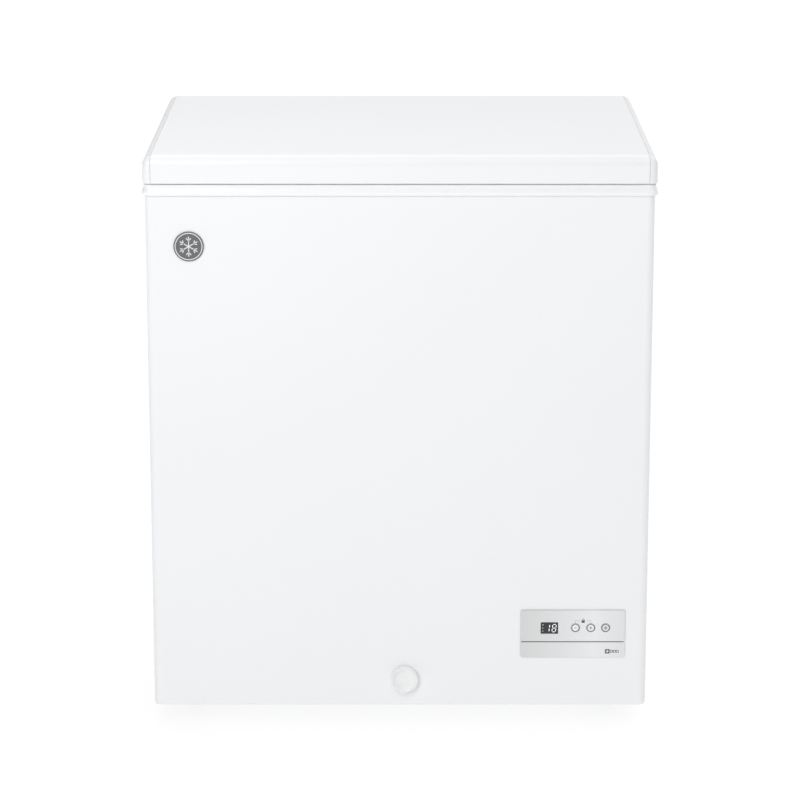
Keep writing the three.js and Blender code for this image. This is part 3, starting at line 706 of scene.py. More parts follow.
# The CAD nodes that are kept: finish, width of the rounded edges, and steps across them.
REFINED = [
    ("back_panel", "zinc_metal", 0.3), ("base_panel", "zinc_metal", 0.3), ("bay_liner", "zinc_metal", 0.3),
    ("compressor_tray", "zinc_metal", 0.3), ("cabinet_foam", "rigid_foam", 2),
    ("rear_grille", "black_grain", 0.5), ("side_grille", "trim_plastic", 0.5),
    ("display_module", "black_grain", 0.6), ("control_board", "board_green", 0),
    ("control_box", "black_grain", 0.6), ("drain_elbow", "trim_plastic", 0.5),
    ("compressor_bracket", "black_enamel", 0.8), ("relay_cover", "black_grain", 2, 3),
    ("condenser_coil", "zinc_metal", 0), ("evaporator_coil", "zinc_metal", 0),
]
for name in ("left", "right"):
    REFINED += [
        (f"hinge_housing_{name}", "hinge_zinc", 0.8), (f"hinge_arm_{name}", "hinge_zinc", 0.5),
        (f"roller_bracket_{name}", "zinc_metal", 0.5),
    ]
for row in REFINED:
    refine(*row)
for name in ("discharge_tube", "suction_tube", "capillary_tube"):
    smooth_tube(name, "copper")


# ---- Measures taken from the frame ----

SHEET = 1.2
CORNER = 11
TUB_CORNER = 12

shell_low, shell_high = box("outer_shell")
collar_low, collar_high = box("collar")
tub_low, tub_high = box("inner_liner")
tub_low, tub_high = tub_low + Vector((SHEET,) * 3), tub_high - Vector((SHEET, SHEET, 0))
pocket_low, pocket_high = box("control_box")
bezel_low, bezel_high = box("panel_bezel")
lens_low, lens_high = box("display_lens")
cap_low, cap_high = box("drain_cap")
vent_low, vent_high = box("side_grille")

MOUTH = (tub_low.x, tub_high.x, tub_low.y, tub_high.y)
DRAIN = (cap_low + cap_high) / 2
SPOUT_HOLE = 12.6
WELL_HOLE = 10.6


def centre(node):
    low, high = box(node)
    return (low + high) / 2


def turned_to(shape, direction, place):
    """A shape made round +Z, aimed along a direction and put in its place."""
    points, faces = shape
    turn = Vector((0, 0, 1)).rotation_difference(Vector(direction))
    return [turn @ Vector(point) + Vector(place) for point in points], faces


def screw_shape(radius, height=1.7):
    """A pan head with a cross recess, standing on its underside."""
    steps = 32
    slot = 0.62 * radius
    half = 0.13 * radius
    rise = [(1, 0), (1, 0.35), (0.9, 0.72), (0.72, 0.92)]
    profile = [(reach * radius, share * height) for reach, share in rise]
    points, faces = lathe_shape(profile, (0, 0, 0), steps=steps)
    faces.append(tuple(range(steps)))
    rim = 3 * steps
    top = 0.98 * height
    cross = []
    for quarter in range(4):
        turn = Matrix.Rotation(math.radians(90 * quarter), 3, "Z")
        for x, y in ((slot, -half), (slot, half), (half, half)):
            cross.append(turn @ Vector((x, y, top)))
    base = len(points)
    points += cross
    count = len(cross)
    for i in range(count):
        j = (i + 1) % count
        here = math.atan2(cross[i].y, cross[i].x)
        there = math.atan2(cross[j].y, cross[j].x)
        first = round(here / (2 * math.pi) * steps)
        last = round(there / (2 * math.pi) * steps)
        if last < first:
            last += steps
        outer = [rim + k % steps for k in range(first, last + 1)]
        faces.append((base + i, *outer, base + j))
    floor = len(points)
    points += [point - Vector((0, 0, 0.6 * height)) for point in cross]
    for i in range(count):
        j = (i + 1) % count
        faces.append((base + i, base + j, floor + j, floor + i))
    faces.append(tuple(range(floor, floor + count)))
    return points, faces


def screws(name, places, direction, body="cabinet", radius=3.4):
    shapes = [turned_to(screw_shape(radius), direction, place) for place in places]
    piece(name, joined(shapes), "zinc_metal", body)


# ---- Cabinet ----

def shell_plan(inset):
    """The U round the front and both sides, open at the back."""
    left, right = shell_low.x + inset, shell_high.x - inset
    front = shell_low.y + inset
    radius = CORNER - inset
    path = [(right, shell_high.y)]
    path += arc(right - radius, front + radius, radius, 0, -90, 10)
    path += arc(left + radius, front + radius, radius, -90, -180, 10)
    path.append((left, shell_high.y))
    return path


def make_shell():
    bottom = shell_low.z
    hem = [(2.4, 0), (1.1, 0.3), (0.3, 1.2), (0, 2.8), (0, shell_high.z - bottom)]
    loops = []
    for inset, rise in hem:
        outer = [(x, y, bottom + rise) for x, y in shell_plan(inset)]
        inner = [(x, y, bottom + rise) for x, y in shell_plan(inset + SHEET)]
        loops.append(outer + inner[::-1])
    shell = piece("shell_sheet", skin(loops), "white_paint", replaced="outer_shell")
    room, reach, vent_rim = 1, 5, 10
    front, side = shell_low.y, shell_high.x
    panel_hole = front_hole(pocket_low, pocket_high, room, front - reach, front + reach)
    spout_hole = drill_shape(SPOUT_HOLE, front - reach, front + reach, (DRAIN.x, 0, DRAIN.z))
    vent_hole = box_shape(
        side - reach, side + reach, vent_low.y + vent_rim, vent_high.y - vent_rim,
        vent_low.z + vent_rim, vent_high.z - vent_rim,
    )
    cut(shell, [panel_hole, spout_hole, vent_hole])


def make_back():
    """The back panel, with flat fields pressed outwards and a screw every hand's width."""
    back = shell_high.y
    fields = [
        (-335, -165, 70, 620), (-145, 145, 70, 620), (165, 335, 246, 620), (-160, 160, 665, 775),
    ]
    press = [(0, -0.4), (0, 0), (-0.5, 0.7), (-1.6, 1.2), (-3.5, 1.4), (-9, 1.4)]
    press += [(-11, 1.2), (-12.5, 0.4), (-14, 0.2)]
    shapes = [loft_shape(field, 16, shifted(press, back), 6, FRONT) for field in fields]
    piece("back_fields", joined(shapes), "zinc_metal")
    edge = shell_high.x - 11
    spots = [(side * edge, z) for side in (-1, 1) for z in (250, 370, 490, 610, 700, 785)]
    spots += [(-edge, z) for z in (40, 130)]
    spots += [(x, 42) for x in (-270, -150, -30, 90)]
    spots += [(x, 786) for x in (-280, -100, 0, 100, 280)]
    screws("back_screws", [(x, back, z) for x, z in spots], (0, 1, 0))


def make_collar():
    """The white frame over the cabinet's top edge.

    Its skirt steps back under the lid to a rounded shoulder, then come a flat top and the mouth.
    """
    back = collar_high.y - 0.5
    outer = (collar_low.x, collar_high.x, collar_low.y, back)
    inner = (shell_low.x - 0.3, shell_high.x + 0.3, shell_low.y - 0.3, back - 2.5)
    bottom, top = collar_low.z, collar_high.z
    shoulder = 3
    step = 2.6
    lip = 1.5
    skirt = [(1.4, 0), (0.5, 0.2), (0, 1), (0, 5), (0.4, 6.2), (1.4, 8), (2.3, 9.8), (2.6, 11)]
    outer_rows = shifted([(-inset, rise) for inset, rise in skirt], bottom)
    outer_rows += arc(-step - shoulder, top - shoulder, shoulder, 0, 90, 8)
    lip_rows = arc(lip, top - lip, lip, 90, 180, 4)
    lip_rows.append((0, shell_high.z + 0.8))
    loops = loft_loops(outer, (14, 3), outer_rows, 10)
    loops += loft_loops(MOUTH, TUB_CORNER, lip_rows, 10)
    loops += loft_loops(inner, (11.3, 1), [(0, shell_high.z + 0.8), (0, bottom)], 10)
    # Its plastic carries painted light, lighter than the trims to offset the lid's shade.
    piece("collar_frame", skin(loops, closed=True), "collar_plastic", replaced="collar")


def make_liner():
    """The tub of embossed sheet, folded up over the compressor bay, with rounded floor edges."""
    step_x, step_z = 118, 275
    fillet = 9
    top = tub_high.z

    def space(rect, floor, ceiling):
        rows = [(-fillet, floor)]
        rows += arc(-fillet, floor + fillet, fillet, -72, 0, 4)
        return loft_shape(rect, TUB_CORNER, rows + [(0, ceiling)], 6)

    upper = space(MOUTH, step_z, top)
    lower = space((MOUTH[0], step_x, MOUTH[2], MOUTH[3]), tub_low.z, step_z + 3 * fillet)
    liner = piece("tub", upper, "stucco_metal", replaced="inner_liner")
    cut(liner, [lower], "UNION")
    remove_faces(liner, lambda spot: spot.z > top - 0.1)
    bevel(liner, 3, 3)
    thicken(liner, SHEET)
    well = centre("drain_plug")
    cut(liner, [drill_shape(WELL_HOLE, tub_low.z - 50, tub_low.z + 20, (well.x, well.y, 0), "z")])


def make_bay_opening():
    """The rear grille's screws and the flange that closes the edge of its opening."""
    low, high = box("rear_grille")
    inset = 7
    # The gland takes up the fourth corner.
    spots = [
        (low.x + inset, high.z - inset), (high.x - inset, high.z - inset), (high.x - inset, low.z + inset),
        ((low.x + high.x) / 2, low.z + inset),
    ]
    screws("grille_screws", [(x, high.y, z) for x, z in spots], (0, 1, 0))
    panel_low, panel_high = box("back_panel")
    bay_low, bay_high = box("bay_liner")
    room = 0.3
    opening = (bay_low.x + room, panel_high.x - room, panel_low.z + room, bay_high.z - room)
    flange = -10
    rows = [(0, panel_low.y), (0, panel_high.y), (flange, panel_high.y), (flange, panel_low.y)]
    piece("bay_flange", loft_shape(opening, 1, rows, 4, FRONT, closed=True), "zinc_metal")


def make_gland():
    low, high = box("cord_gland")
    middle = centre("cord_gland")
    profile = [(4.2, 0), (8, 0), (8, 8.4), (10.6, 8.6), (11, 9.2), (11, 11), (10.4, 11.6), (9.4, 12)]
    for rib in range(3):
        base = 12.2 + 1.4 * rib
        slim = 0.5 * rib
        profile += [(8.6 - slim, base), (9 - slim, base + 0.6), (8.2 - slim, base + 1.1)]
    profile += [(6.6, 17), (4.6, 17), (4.2, 16.6), (4.2, 0)]
    turned("gland", shifted(profile, low.y), middle, "y", 40, "black_rubber", replaced="cord_gland")
    rim = [(x, high.y - 9, z) for x, z in arc(middle.x, middle.z, 9.6, 0, 360, 32)][:-1]
    piece("gland_collar", tube_shape(rim, 1, 8, True), "black_rubber")


# ---- Lid ----

lid_low = box("lid_side_trim_left")[0]
lid_high = box("lid_side_trim_right")[1]
LID_SEAM = box("lid_top_panel")[1].x
LID_RECT = (lid_low.x, lid_high.x, lid_low.y, lid_high.y)
LID_CORNER = 12
LID_ROLL = 15
LID_WALL = 2


def lid_form(bottom):
    """The whole lid skin: a skirt with a hemmed lower edge, a roll and a flat top, hollow below."""
    top = lid_high.z
    hem = 0.8
    outer = [(-1.2, bottom + 0.1), (-hem / 2, bottom), (0, bottom + hem), (0, bottom + 4 * hem)]
    outer += arc(-LID_ROLL, top - LID_ROLL, LID_ROLL, 0, 90, 9)
    inner_roll = LID_ROLL - LID_WALL
    inner = arc(-LID_ROLL, top - LID_ROLL, inner_roll, 90, 0, 9)
    inner += [(-LID_WALL, bottom + 4 * hem), (-LID_WALL, bottom + hem)]
    outer_loops = loft_loops(LID_RECT, LID_CORNER, outer, 10)
    inner_loops = loft_loops(LID_RECT, LID_CORNER, inner, 10)
    return skin(inner_loops + outer_loops)


def make_lid_skins():
    """The top panel and a trim at each end, all cut from the same form. They hang over the collar's seam."""
    top_bottom = lid_low.z - 2.4
    trim_bottom = lid_low.z - 2.6
    reach = 50
    across = (lid_low.y - reach, lid_high.y + reach, lid_low.z - reach, lid_high.z + reach)
    panel = piece("lid_sheet", lid_form(top_bottom), "white_paint", "lid", "lid_top_panel")
    cut(panel, [box_shape(-LID_SEAM, LID_SEAM, *across)], "INTERSECT")
    bevel(panel, 0.35, 2)
    joint = LID_SEAM + 0.4
    for side, name in ((-1, "left"), (1, "right")):
        node = f"lid_side_trim_{name}"
        trim = piece(f"lid_trim_{name}", lid_form(trim_bottom), "trim_plastic", "lid", node)
        ends = sorted((side * joint, side * (lid_high.x + reach)))
        cut(trim, [box_shape(*ends, *across)], "INTERSECT")
        bevel(trim, 0.5, 3)


# The lid's lining in section, from the middle of its plug out to its rim: (grow from the plug, height).
plug_low, plug_high = box("lid_inner_panel")
PLUG_RECT = (-285, 285, -214, 188)
RIM_RECT = (plug_low.x, plug_high.x, plug_low.y, plug_high.y)
PLUG_CORNER = 25
LINING = 1.8


def lining_rows(lift):
    """The lining's face, or its upper side when lifted."""
    low = plug_low.z
    rim = plug_high.z - LINING
    rows = [(-44, low + 4), (-37, low + 3.9), (-35.6, low + 3.3), (-33.4, low + 0.7)]
    rows += [(-32, low + 0.1), (-30, low), (-7, low), (-3.4, low + 0.9), (-1.4, low + 3)]
    rows += [(-0.6, low + 6), (0.2, rim - 3.5), (1.1, rim - 1.3), (3, rim - 0.1), (6, rim)]
    shrink = -0.9 * lift
    return [(grow + (shrink if -36 < grow < 2 else 0), height + lift) for grow, height in rows]


def make_lining():
    """The lid's lining with five ribs, and the foam between the lining and the skins."""
    below = loft_loops(PLUG_RECT, PLUG_CORNER, lining_rows(0))
    above = loft_loops(PLUG_RECT, PLUG_CORNER, lining_rows(LINING))
    rim = loft_loops(RIM_RECT, 9.7, [(0, plug_high.z - LINING), (0, plug_high.z)])
    piece("lid_lining", skin(below + rim + above[::-1]), "inner_plastic", "lid", "lid_inner_panel")

    rib_rows = shifted([(0, 0), (-0.6, -1.2), (-2, -2), (-4, -2.2)], plug_low.z + 4.3)
    half, corner = 9, 8.5
    ribs = [
        loft_shape((middle - half, middle + half, -160, 134), corner, rib_rows, 6)
        for middle in (-180, -90, 0, 90, 180)
    ]
    piece("lid_lining_ribs", joined(ribs), "inner_plastic", "lid")

    gap = 0.4
    inset = LID_WALL + gap
    top = lid_high.z - inset
    roll = LID_ROLL - inset
    over = [(-inset, plug_high.z + gap)] + arc(-inset - roll, top - roll, roll, 0, 90, 5)
    core = loft_loops(PLUG_RECT, PLUG_CORNER, lining_rows(LINING + gap))
    core += loft_loops(LID_RECT, LID_CORNER, over)
    piece("lid_core", skin(core), "rigid_foam", "lid", "lid_foam")


def make_gasket():
    """A soft magnetic seal: a bellows between its root and its pad."""
    low, high = box("lid_gasket")
    rect = (low.x, high.x, low.y, high.y)
    bellows = [
        (-1, 6.3), (0, 5.9), (-0.2, 5.1), (-2.6, 4.3), (-2.6, 3.6), (-0.2, 2.9), (0, 1.2), (-0.7, 0.3),
        (-1.8, 0), (-15, 0), (-16.4, 0.5), (-17, 1.6), (-16.6, 2.8), (-14, 3.6), (-14, 4.3), (-16.6, 5.1),
        (-17, 5.9), (-16, 6.3),
    ]
    shape = loft_shape(rect, 30, shifted(bellows, low.z), closed=True)
    piece("seal", shape, "gasket", "lid", "lid_gasket")


# ---- Hinges ----

def make_hinge(name):
    """A pin through housing and arm, a plunger, the spring under it, and the screws."""
    low, high = box(f"hinge_housing_{name}")
    x = (low.x + high.x) / 2

    node = f"hinge_pin_{name}"
    pin_low, pin_high = box(node)
    head = (pin_high.y - pin_low.y) / 2
    shank = 4
    start, end = pin_low.x, pin_high.x
    profile = [(0, start), (head * 0.8, start), (head, start + 0.7), (head, start + 1.6)]
    profile += [(head * 0.94, start + 2), (shank, start + 2)]
    profile += [(shank, end - 0.6), (shank - 0.6, end), (0, end)]
    turned(f"pin_{name}", profile, centre(node), "x", 32, "brushed_metal", replaced=node)

    node = f"hinge_plunger_{name}"
    foot, tip = (corner.z for corner in box(node))
    flange = 9
    profile = [(0, foot), (flange - 0.5, foot), (flange, foot + 0.5), (flange, foot + 2.4)]
    profile += [(flange - 0.6, foot + 3), (shank + 1, foot + 3), (shank, foot + 4)]
    profile += [(shank, tip - 1.8), (shank * 0.8, tip - 0.6), (shank * 0.4, tip), (0, tip)]
    middle = centre(node)
    body = f"plunger_{name}"
    turned(f"plunger_pin_{name}", profile, middle, "z", 32, "brushed_metal", body, node)

    spring_low, spring_high = box(f"hinge_spring_{name}")
    wire = 1.1
    coil = (spring_high.x - spring_low.x) / 2 - wire
    turns, per_turn = 10, 24
    start, end = spring_low.z + wire, spring_high.z - wire
    path = []
    for i in range(turns * per_turn + 1):
        share = i / (turns * per_turn)
        # The first and the last turn lie nearly flat, as ground ends do.
        rise = min(1, max(0, (share * turns - 0.8) / (turns - 1.6)))
        angle = 2 * math.pi * share * turns
        z = start + (end - start) * (0.06 * share + 0.94 * rise)
        path.append((middle.x + coil * math.cos(angle), middle.y + coil * math.sin(angle), z))
    spring = bare_mesh(f"spring_{name}", tube_shape(path, wire, 8))
    spring.data.materials.append(MATERIALS["black_enamel"])
    soften(spring.data, 50)
    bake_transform(spring)
    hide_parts(f"hinge_spring_{name}")

    inside = low.y + 2.5
    spots = [(x + side * 17, inside, z) for side in (-1, 1) for z in (690, 735)]
    screws(f"housing_screws_{name}", spots, (0, 1, 0), radius=4)
    plate = box(f"hinge_arm_{name}")[0].y + 2.7
    spots = [(x + side * 13, plate, z) for side in (-1, 1) for z in (822, 835)]
    screws(f"arm_screws_{name}", spots, (0, 1, 0), "lid", radius=4)


make_shell()
make_back()
make_collar()
make_liner()
make_bay_opening()
make_gland()
make_lid_skins()
make_lining()
make_gasket()
for name in ("left", "right"):
    make_hinge(name)


# ---- Controls ----

PLATE = bezel_low.y
PRINT = 0.06


def flat_print(outline, front):
    """A flat outline of (x, z) points that stands a hair proud of a front face."""
    return skin([[(x, front + side * PRINT, z) for x, z in outline] for side in (-1, 1)])


def bar(x0, z0, x1, z1, width, front):
    """A straight stroke from one point to another."""
    along = Vector((x1 - x0, z1 - z0)).normalized() * width / 2
    u, v = -along.y, along.x
    return flat_print([(x0 - u, z0 - v), (x1 - u, z1 - v), (x1 + u, z1 + v), (x0 + u, z0 + v)], front)


def ring_print(x, z, outer, inner, front, steps):
    profile = [(inner, PRINT), (outer, PRINT), (outer, -PRINT), (inner, -PRINT), (inner, PRINT)]
    return lathe_shape(shifted(profile, front), (x, 0, z), "y", steps)


def snowflake(x, z, size, width, front):
    """Six arms round a small hexagon, each with a pair of short branches."""
    def out(reach, degrees, start=(x, z)):
        angle = math.radians(degrees)
        return start[0] + reach * math.cos(angle), start[1] + reach * math.sin(angle)

    strokes = [flat_print(arc(x, z, 1.1 * width, 0, 300, 5), front)]
    for turn in range(90, 450, 60):
        strokes.append(bar(*out(0.95 * width, turn), *out(size, turn), width, front))
        fork = out(0.56 * size, turn)
        for lean in (-42, 42):
            strokes.append(bar(*fork, *out(0.36 * size, turn + lean, fork), width, front))
    return joined(strokes)


def star_outline(x, z, size, points=6):
    outline = []
    for i in range(2 * points):
        reach = size if i % 2 == 0 else size * 0.42
        angle = math.pi / 2 + math.pi * i / points
        outline.append((x + reach * math.cos(angle), z + reach * math.sin(angle)))
    return outline


def digit(segments, x, z, width, height, stroke, lean, front):
    """A seven-segment digit with its lower left corner at x, z. It leans to the right."""
    middle = height / 2
    ends = {
        "a": (0, height, width, height), "g": (0, middle, width, middle), "d": (0, 0, width, 0),
        "f": (0, middle, 0, height), "b": (width, middle, width, height),
        "e": (0, 0, 0, middle), "c": (width, 0, width, middle),
    }
    gap = 0.62 * stroke
    shapes = []
    for segment in segments:
        u0, v0, u1, v1 = ends[segment]
        along = Vector((u1 - u0, v1 - v0)).normalized()
        side = Vector((-along.y, along.x)) * stroke / 2
        start = Vector((u0, v0)) + along * gap
        end = Vector((u1, v1)) - along * gap
        shoulder = along * stroke / 2
        outline = [start, start + shoulder - side, end - shoulder - side, end, end - shoulder + side]
        outline.append(start + shoulder + side)
        shapes.append(flat_print([(x + u + lean * v, z + v) for u, v in outline], front))
    return joined(shapes)


def make_bezel():
    """A lacquered plate with rounded edges, a seam across it with painted shade in it, a window and three
    key holes.
    """
    rect = front_rect(bezel_low, bezel_high)
    rows = shifted([(-0.3, 1.7), (0, 1.4), (0, 0.9), (-0.25, 0.3), (-0.8, 0.05), (-1.4, 0)], PLATE)
    plate = piece("panel_plate", loft_shape(rect, 3, rows, 6, FRONT), "pearl_painted_sheen", replaced="panel_bezel")
    reach, room = 5, 0.3
    front, behind = PLATE - reach, PLATE + reach
    holes = [front_hole(lens_low, lens_high, room, front, behind)]
    for key in ("key_minus", "key_plus", "key_fast_freeze"):
        low, high = box(key)
        radius = (high.x - low.x) / 2 + room
        spot = centre(key)
        holes.append(drill_shape(radius, front, behind, (spot.x, 0, spot.z)))
    seam = bezel_low.z + 24.2
    ends = (rect[0] + 1.2, rect[1] - 1.8)
    half = 0.7
    holes.append(box_shape(*ends, front, PLATE + 0.9, seam - half, seam + half))
    cut(plate, holes)
    bevel(plate, 0.18, 2)
    # A near-black strip on the seam's floor: painted shade in the groove.
    room = 0.1
    seam_shade_strip = box_shape(
        ends[0] + room, ends[1] - room, PLATE + 0.35, PLATE + 0.95, seam - half + room, seam + half - room,
    )
    piece("panel_seam_shade", seam_shade_strip, "print_grey")
    wall = 2
    start, deep = PLATE + 1.2, pocket_low.y - 0.4
    rows = [(0, start), (0, deep), (-wall, deep), (-wall, start)]
    sleeve = loft_shape(front_rect(pocket_low, pocket_high), 2.5, rows, 4, FRONT, closed=True)
    piece("panel_sleeve", sleeve, "pearl_painted_sheen")


def make_display():
    """A smoked window with two lit digits and three small signs, on its light module."""
    front = lens_low.y
    rows = [(0, lens_high.y), (0, front + 0.35), (-0.15, front + 0.1), (-0.5, front)]
    shape = loft_shape(front_rect(lens_low, lens_high), 0.8, rows, 4, FRONT)
    piece("display_window", shape, "smoked_lens", replaced="display_lens")
    size = lens_high.x - lens_low.x
    height = 0.46 * size
    width = 0.2 * size
    stroke = 0.042 * size
    foot = (lens_low.z + lens_high.z - height) / 2
    lean = 0.12
    digits = [
        digit(segments, lens_low.x + place * size, foot, width, height, stroke, lean, front)
        for segments, place in (("bc", 0.27), ("abcdefg", 0.65))
    ]
    column = lens_low.x + 0.11 * size
    rise = 0.19 * size
    middle = (lens_low.z + lens_high.z) / 2
    signs = [
        snowflake(column, middle + rise, 0.8, 0.15, front),
        flat_print(star_outline(column, middle, 0.7, 3), front),
        ring_print(column, middle - rise, 0.7, 0.45, front, 24),
    ]
    piece("display_signs", joined(digits + signs), "digits")


def make_keys():
    """Round keys with a dished face, a dark ring and a sign."""
    keys = [
        ("key_minus", "minus_key", "key_white"), ("key_plus", "plus_key", "key_white"),
        ("key_fast_freeze", "fast_freeze_key", "pearl_painted_sheen"),
    ]
    sign, stroke = 2.5, 0.75
    for key, body, finish in keys:
        low, high = box(key)
        spot = centre(key)
        radius = (high.x - low.x) / 2
        face = low.y + 0.15
        profile = [(0, face), (radius - 1.3, face), (radius - 0.8, face - 0.1)]
        profile += [(radius - 0.35, face), (radius, face + 0.4), (radius, high.y), (0, high.y)]
        turned(f"{key}_cap", profile, spot, "y", 56, finish, body, key)
        strokes = [bar(spot.x - sign, spot.z, spot.x + sign, spot.z, stroke, face)]
        if key == "key_plus":
            strokes.append(bar(spot.x, spot.z - sign, spot.x, spot.z + sign, stroke, face))
        if key == "key_fast_freeze":
            strokes = [snowflake(spot.x, spot.z, 2.9, 0.42, face)]
        piece(f"{key}_sign", joined(strokes), "print_grey", body)
        lip = ring_print(spot.x, spot.z, radius - 0.3, radius - 1.1, face - 0.07, 56)
        piece(f"{key}_lip", lip, "print_grey", body)
        ring = ring_print(spot.x, spot.z, radius + 0.7, radius + 0.3, PLATE, 56)
        piece(f"{key}_ring", ring, "print_grey")


def make_panel_print():
    """A dashed bracket over the first two keys with a padlock on it, and the freezer's star mark."""
    minus, plus = centre("key_minus"), centre("key_plus")
    level = minus.z + 11
    middle = (minus.x + plus.x) / 2
    stroke, dash = 0.35, 1.5
    lock_half = 3.4
    shapes = []
    x = minus.x
    while x < plus.x - dash / 2:
        end = min(x + dash, plus.x)
        if end < middle - lock_half or x > middle + lock_half:
            shapes.append(bar(x, level, end, level, stroke, PLATE))
        x += 1.6 * dash
    for end in (minus.x, plus.x):
        for i in range(2):
            top = level - 1.7 * dash * i
            shapes.append(bar(end, top - dash, end, top, stroke, PLATE))

    def tile(x, z, width, height):
        return flat_print([(x, z), (x + width, z), (x + width, z + height), (x, z + height)], PLATE)

    lock_width, lock_height = 4.6, 3.6
    base = level - 3.4
    shapes.append(tile(middle - lock_width / 2, base, lock_width, lock_height))
    shackle = [Vector((x, PLATE, z)) for x, z in arc(middle, base + lock_height + 1, 1.4, 180, 0, 10)]
    foot = Vector((0, 0, -1.2))
    shapes.append(tube_shape([shackle[0] + foot, *shackle, shackle[-1] + foot], 0.3, 6))

    square, small = 6.6, 3.9
    left, low = plus.x + 21.4, bezel_low.z + 6.2
    tiles = [(left, low, square, 2.5)]
    for i in range(3):
        tiles.append((left + square + 0.7 + i * (small + 0.5), low + (square - small) / 2, small, 1.9))
    light = []
    for x, z, size, star in tiles:
        shapes.append(tile(x, z, size, size))
        light.append(flat_print(star_outline(x + size / 2, z + size / 2, star), PLATE - PRINT))
    piece("panel_print", joined(shapes), "print_grey")
    piece("panel_print_light", joined(light), "key_white")


def make_control_inside():
    low, high = box("control_board")
    chips = []
    for i in range(5):
        x = low.x + (14 + 24 * i)
        z = low.z + (10 + 7 * (i % 2))
        chips.append(box_shape(x, x + 9, high.y, high.y + 2.2, z, z + 6))
    parts = piece("board_parts", joined(chips), "black_grain")
    bevel(parts, 0.3, 2)


def make_badge():
    """A round badge: a dark edge, a bright ring and a dark domed disc with a raised snowflake."""
    low, high = box("badge")
    spot = centre("badge")
    radius = (high.x - low.x) / 2
    outer, inner = radius - 1.8, radius - 3.2
    back = high.y - low.y
    base = [(0, back), (radius - 0.2, back), (radius, back - 0.2), (radius, 0.7)]
    base += [(radius - 0.35, 0.45), (radius - 1.1, 0.45), (0, 0.45)]
    ring = [(inner, 0.6), (outer, 0.6), (outer, 0.3), (outer - 0.25, 0.1), (inner + 0.25, 0.1)]
    ring += [(inner, 0.3), (inner, 0.6)]
    disc = [(0, 0.6), (inner - 0.1, 0.6), (inner - 0.1, 0.35), (inner - 0.6, 0.25), (inner * 0.6, 0.14)]
    disc.append((0, 0.1))
    layers = [
        ("badge_base", base, "badge_grey", "badge"), ("badge_ring", ring, "bright_ring", ()),
        ("badge_disc", disc, "badge_grey", ()),
    ]
    for name, profile, finish, replaced in layers:
        turned(name, shifted(profile, low.y), spot, "y", 72, finish, replaced=replaced)
    piece("badge_flake", snowflake(spot.x, spot.z, 14.5, 1.5, low.y + 0.12), "bright_ring")


# ---- Drain ----

def make_drain():
    """The dished cap, the ribbed spout behind it and the stopper in the well."""
    front = cap_low.y
    radius = (cap_high.x - cap_low.x) / 2
    seat = shell_low.y - 0.4
    dish = [(0, 5.2), (6, 5), (11, 4.2), (14.2, 3), (16.2, 1.6), (17.1, 0.5), (17.8, 0), (18.5, 0.1)]
    dish += [(19.3, 0.7), (radius - 0.15, 1.8), (radius, 3.4)]
    profile = shifted(dish, front)
    profile += [(radius, seat - 0.3), (radius - 0.3, seat), (9.1, seat), (9.1, seat + 9.4)]
    profile += [(8.5, seat + 10), (0, seat + 10)]
    turned("cap_dish", profile, DRAIN, "y", 72, "trim_plastic", "cap", "drain_cap")

    low, high = box("drain_spout")
    bore = 9.5
    outside = (high.x - low.x) / 2
    valley = outside - 0.6
    pipe = [(bore, 0.4), (9.9, 0), (11.6, 0), (12, 0.4)]
    for ridge in (40, 46, 52):
        pipe += [(outside, ridge), (valley, ridge + 0.6), (valley, ridge + 2.4), (outside, ridge + 3)]
    profile = shifted(pipe, low.y)
    profile += [(outside, high.y), (bore, high.y), profile[0]]
    turned("spout_pipe", profile, DRAIN, "y", 48, "trim_plastic", "spout", "drain_spout")

    low, high = box("drain_plug")
    flange = tub_low.z + 0.3
    profile = [(0, low.z), (9.4, low.z), (10, low.z + 0.8), (10, flange), (17, flange)]
    profile += [(16.8, flange + 1), (15.6, flange + 1.8), (7, flange + 1.9)]
    profile += [(5.4, high.z - 0.8), (4.8, high.z), (0, high.z)]
    turned("well_stopper", profile, centre("drain_plug"), "z", 48, "trim_plastic", "well_plug", "drain_plug")


# ---- Feet and rollers ----

def make_supports(name):
    """A levelling foot with its thread and nut, and a roller with its axle."""
    node, body = f"foot_{name}", f"{name}_foot"
    spot = centre(node)
    top = box(node)[1].z
    profile = [(0, 0), (17.2, 0), (18.4, 0.5), (19, 1.7), (19, 4.8), (18.3, 6.1), (16, 7.4), (12, 10)]
    profile += [(10.4, 11.6), (10, 12.6), (10, 17.4), (9.5, 18), (4, 18)]
    thread, pitch = 18.6, 1.25
    while thread < top - 2:
        profile += [(4, thread), (3.5, thread + 0.6)]
        thread += pitch
    profile += [(3.4, top), (0, top)]
    turned(f"levelling_foot_{name}", profile, spot, "z", 48, "black_grain", body, node)
    nut = [(4.2, 21), (7, 21), (7.4, 21.6), (7.4, 25.2), (7, 25.8), (4.2, 25.8), (4.2, 21)]
    turned(f"foot_nut_{name}", nut, spot, "z", 6, "zinc_metal", body)

    node = f"roller_{name}"
    low, high = box(node)
    spot = centre(node)
    rim = (high.z - low.z) / 2
    bore = 2.9
    profile = [(bore, 0), (5, 0), (5.4, 1), (9.4, 1), (9.8, 0), (rim - 1, 0), (rim - 0.3, 0.3), (rim, 1)]
    profile = shifted(profile, low.x)
    mirrored = [(radius, 2 * spot.x - x) for radius, x in profile[::-1]]
    wheel = profile + mirrored + profile[:1]
    turned(f"wheel_{name}", wheel, spot, "x", 48, "black_grain", f"{name}_roller", node)
    head = lathe_shape([(0, 1.1), (1.8, 0.9), (3, 0.2), (3, -0.2), (0, -0.2)], (0, 0, 0), "z", 24)
    ends = [
        turned_to(head, (way, 0, 0), (corner.x, spot.y, spot.z))
        for corner, way in zip(box(f"roller_bracket_{name}"), (-1, 1))
    ]
    piece(f"axle_heads_{name}", joined(ends), "brushed_metal")


# ---- Basket ----

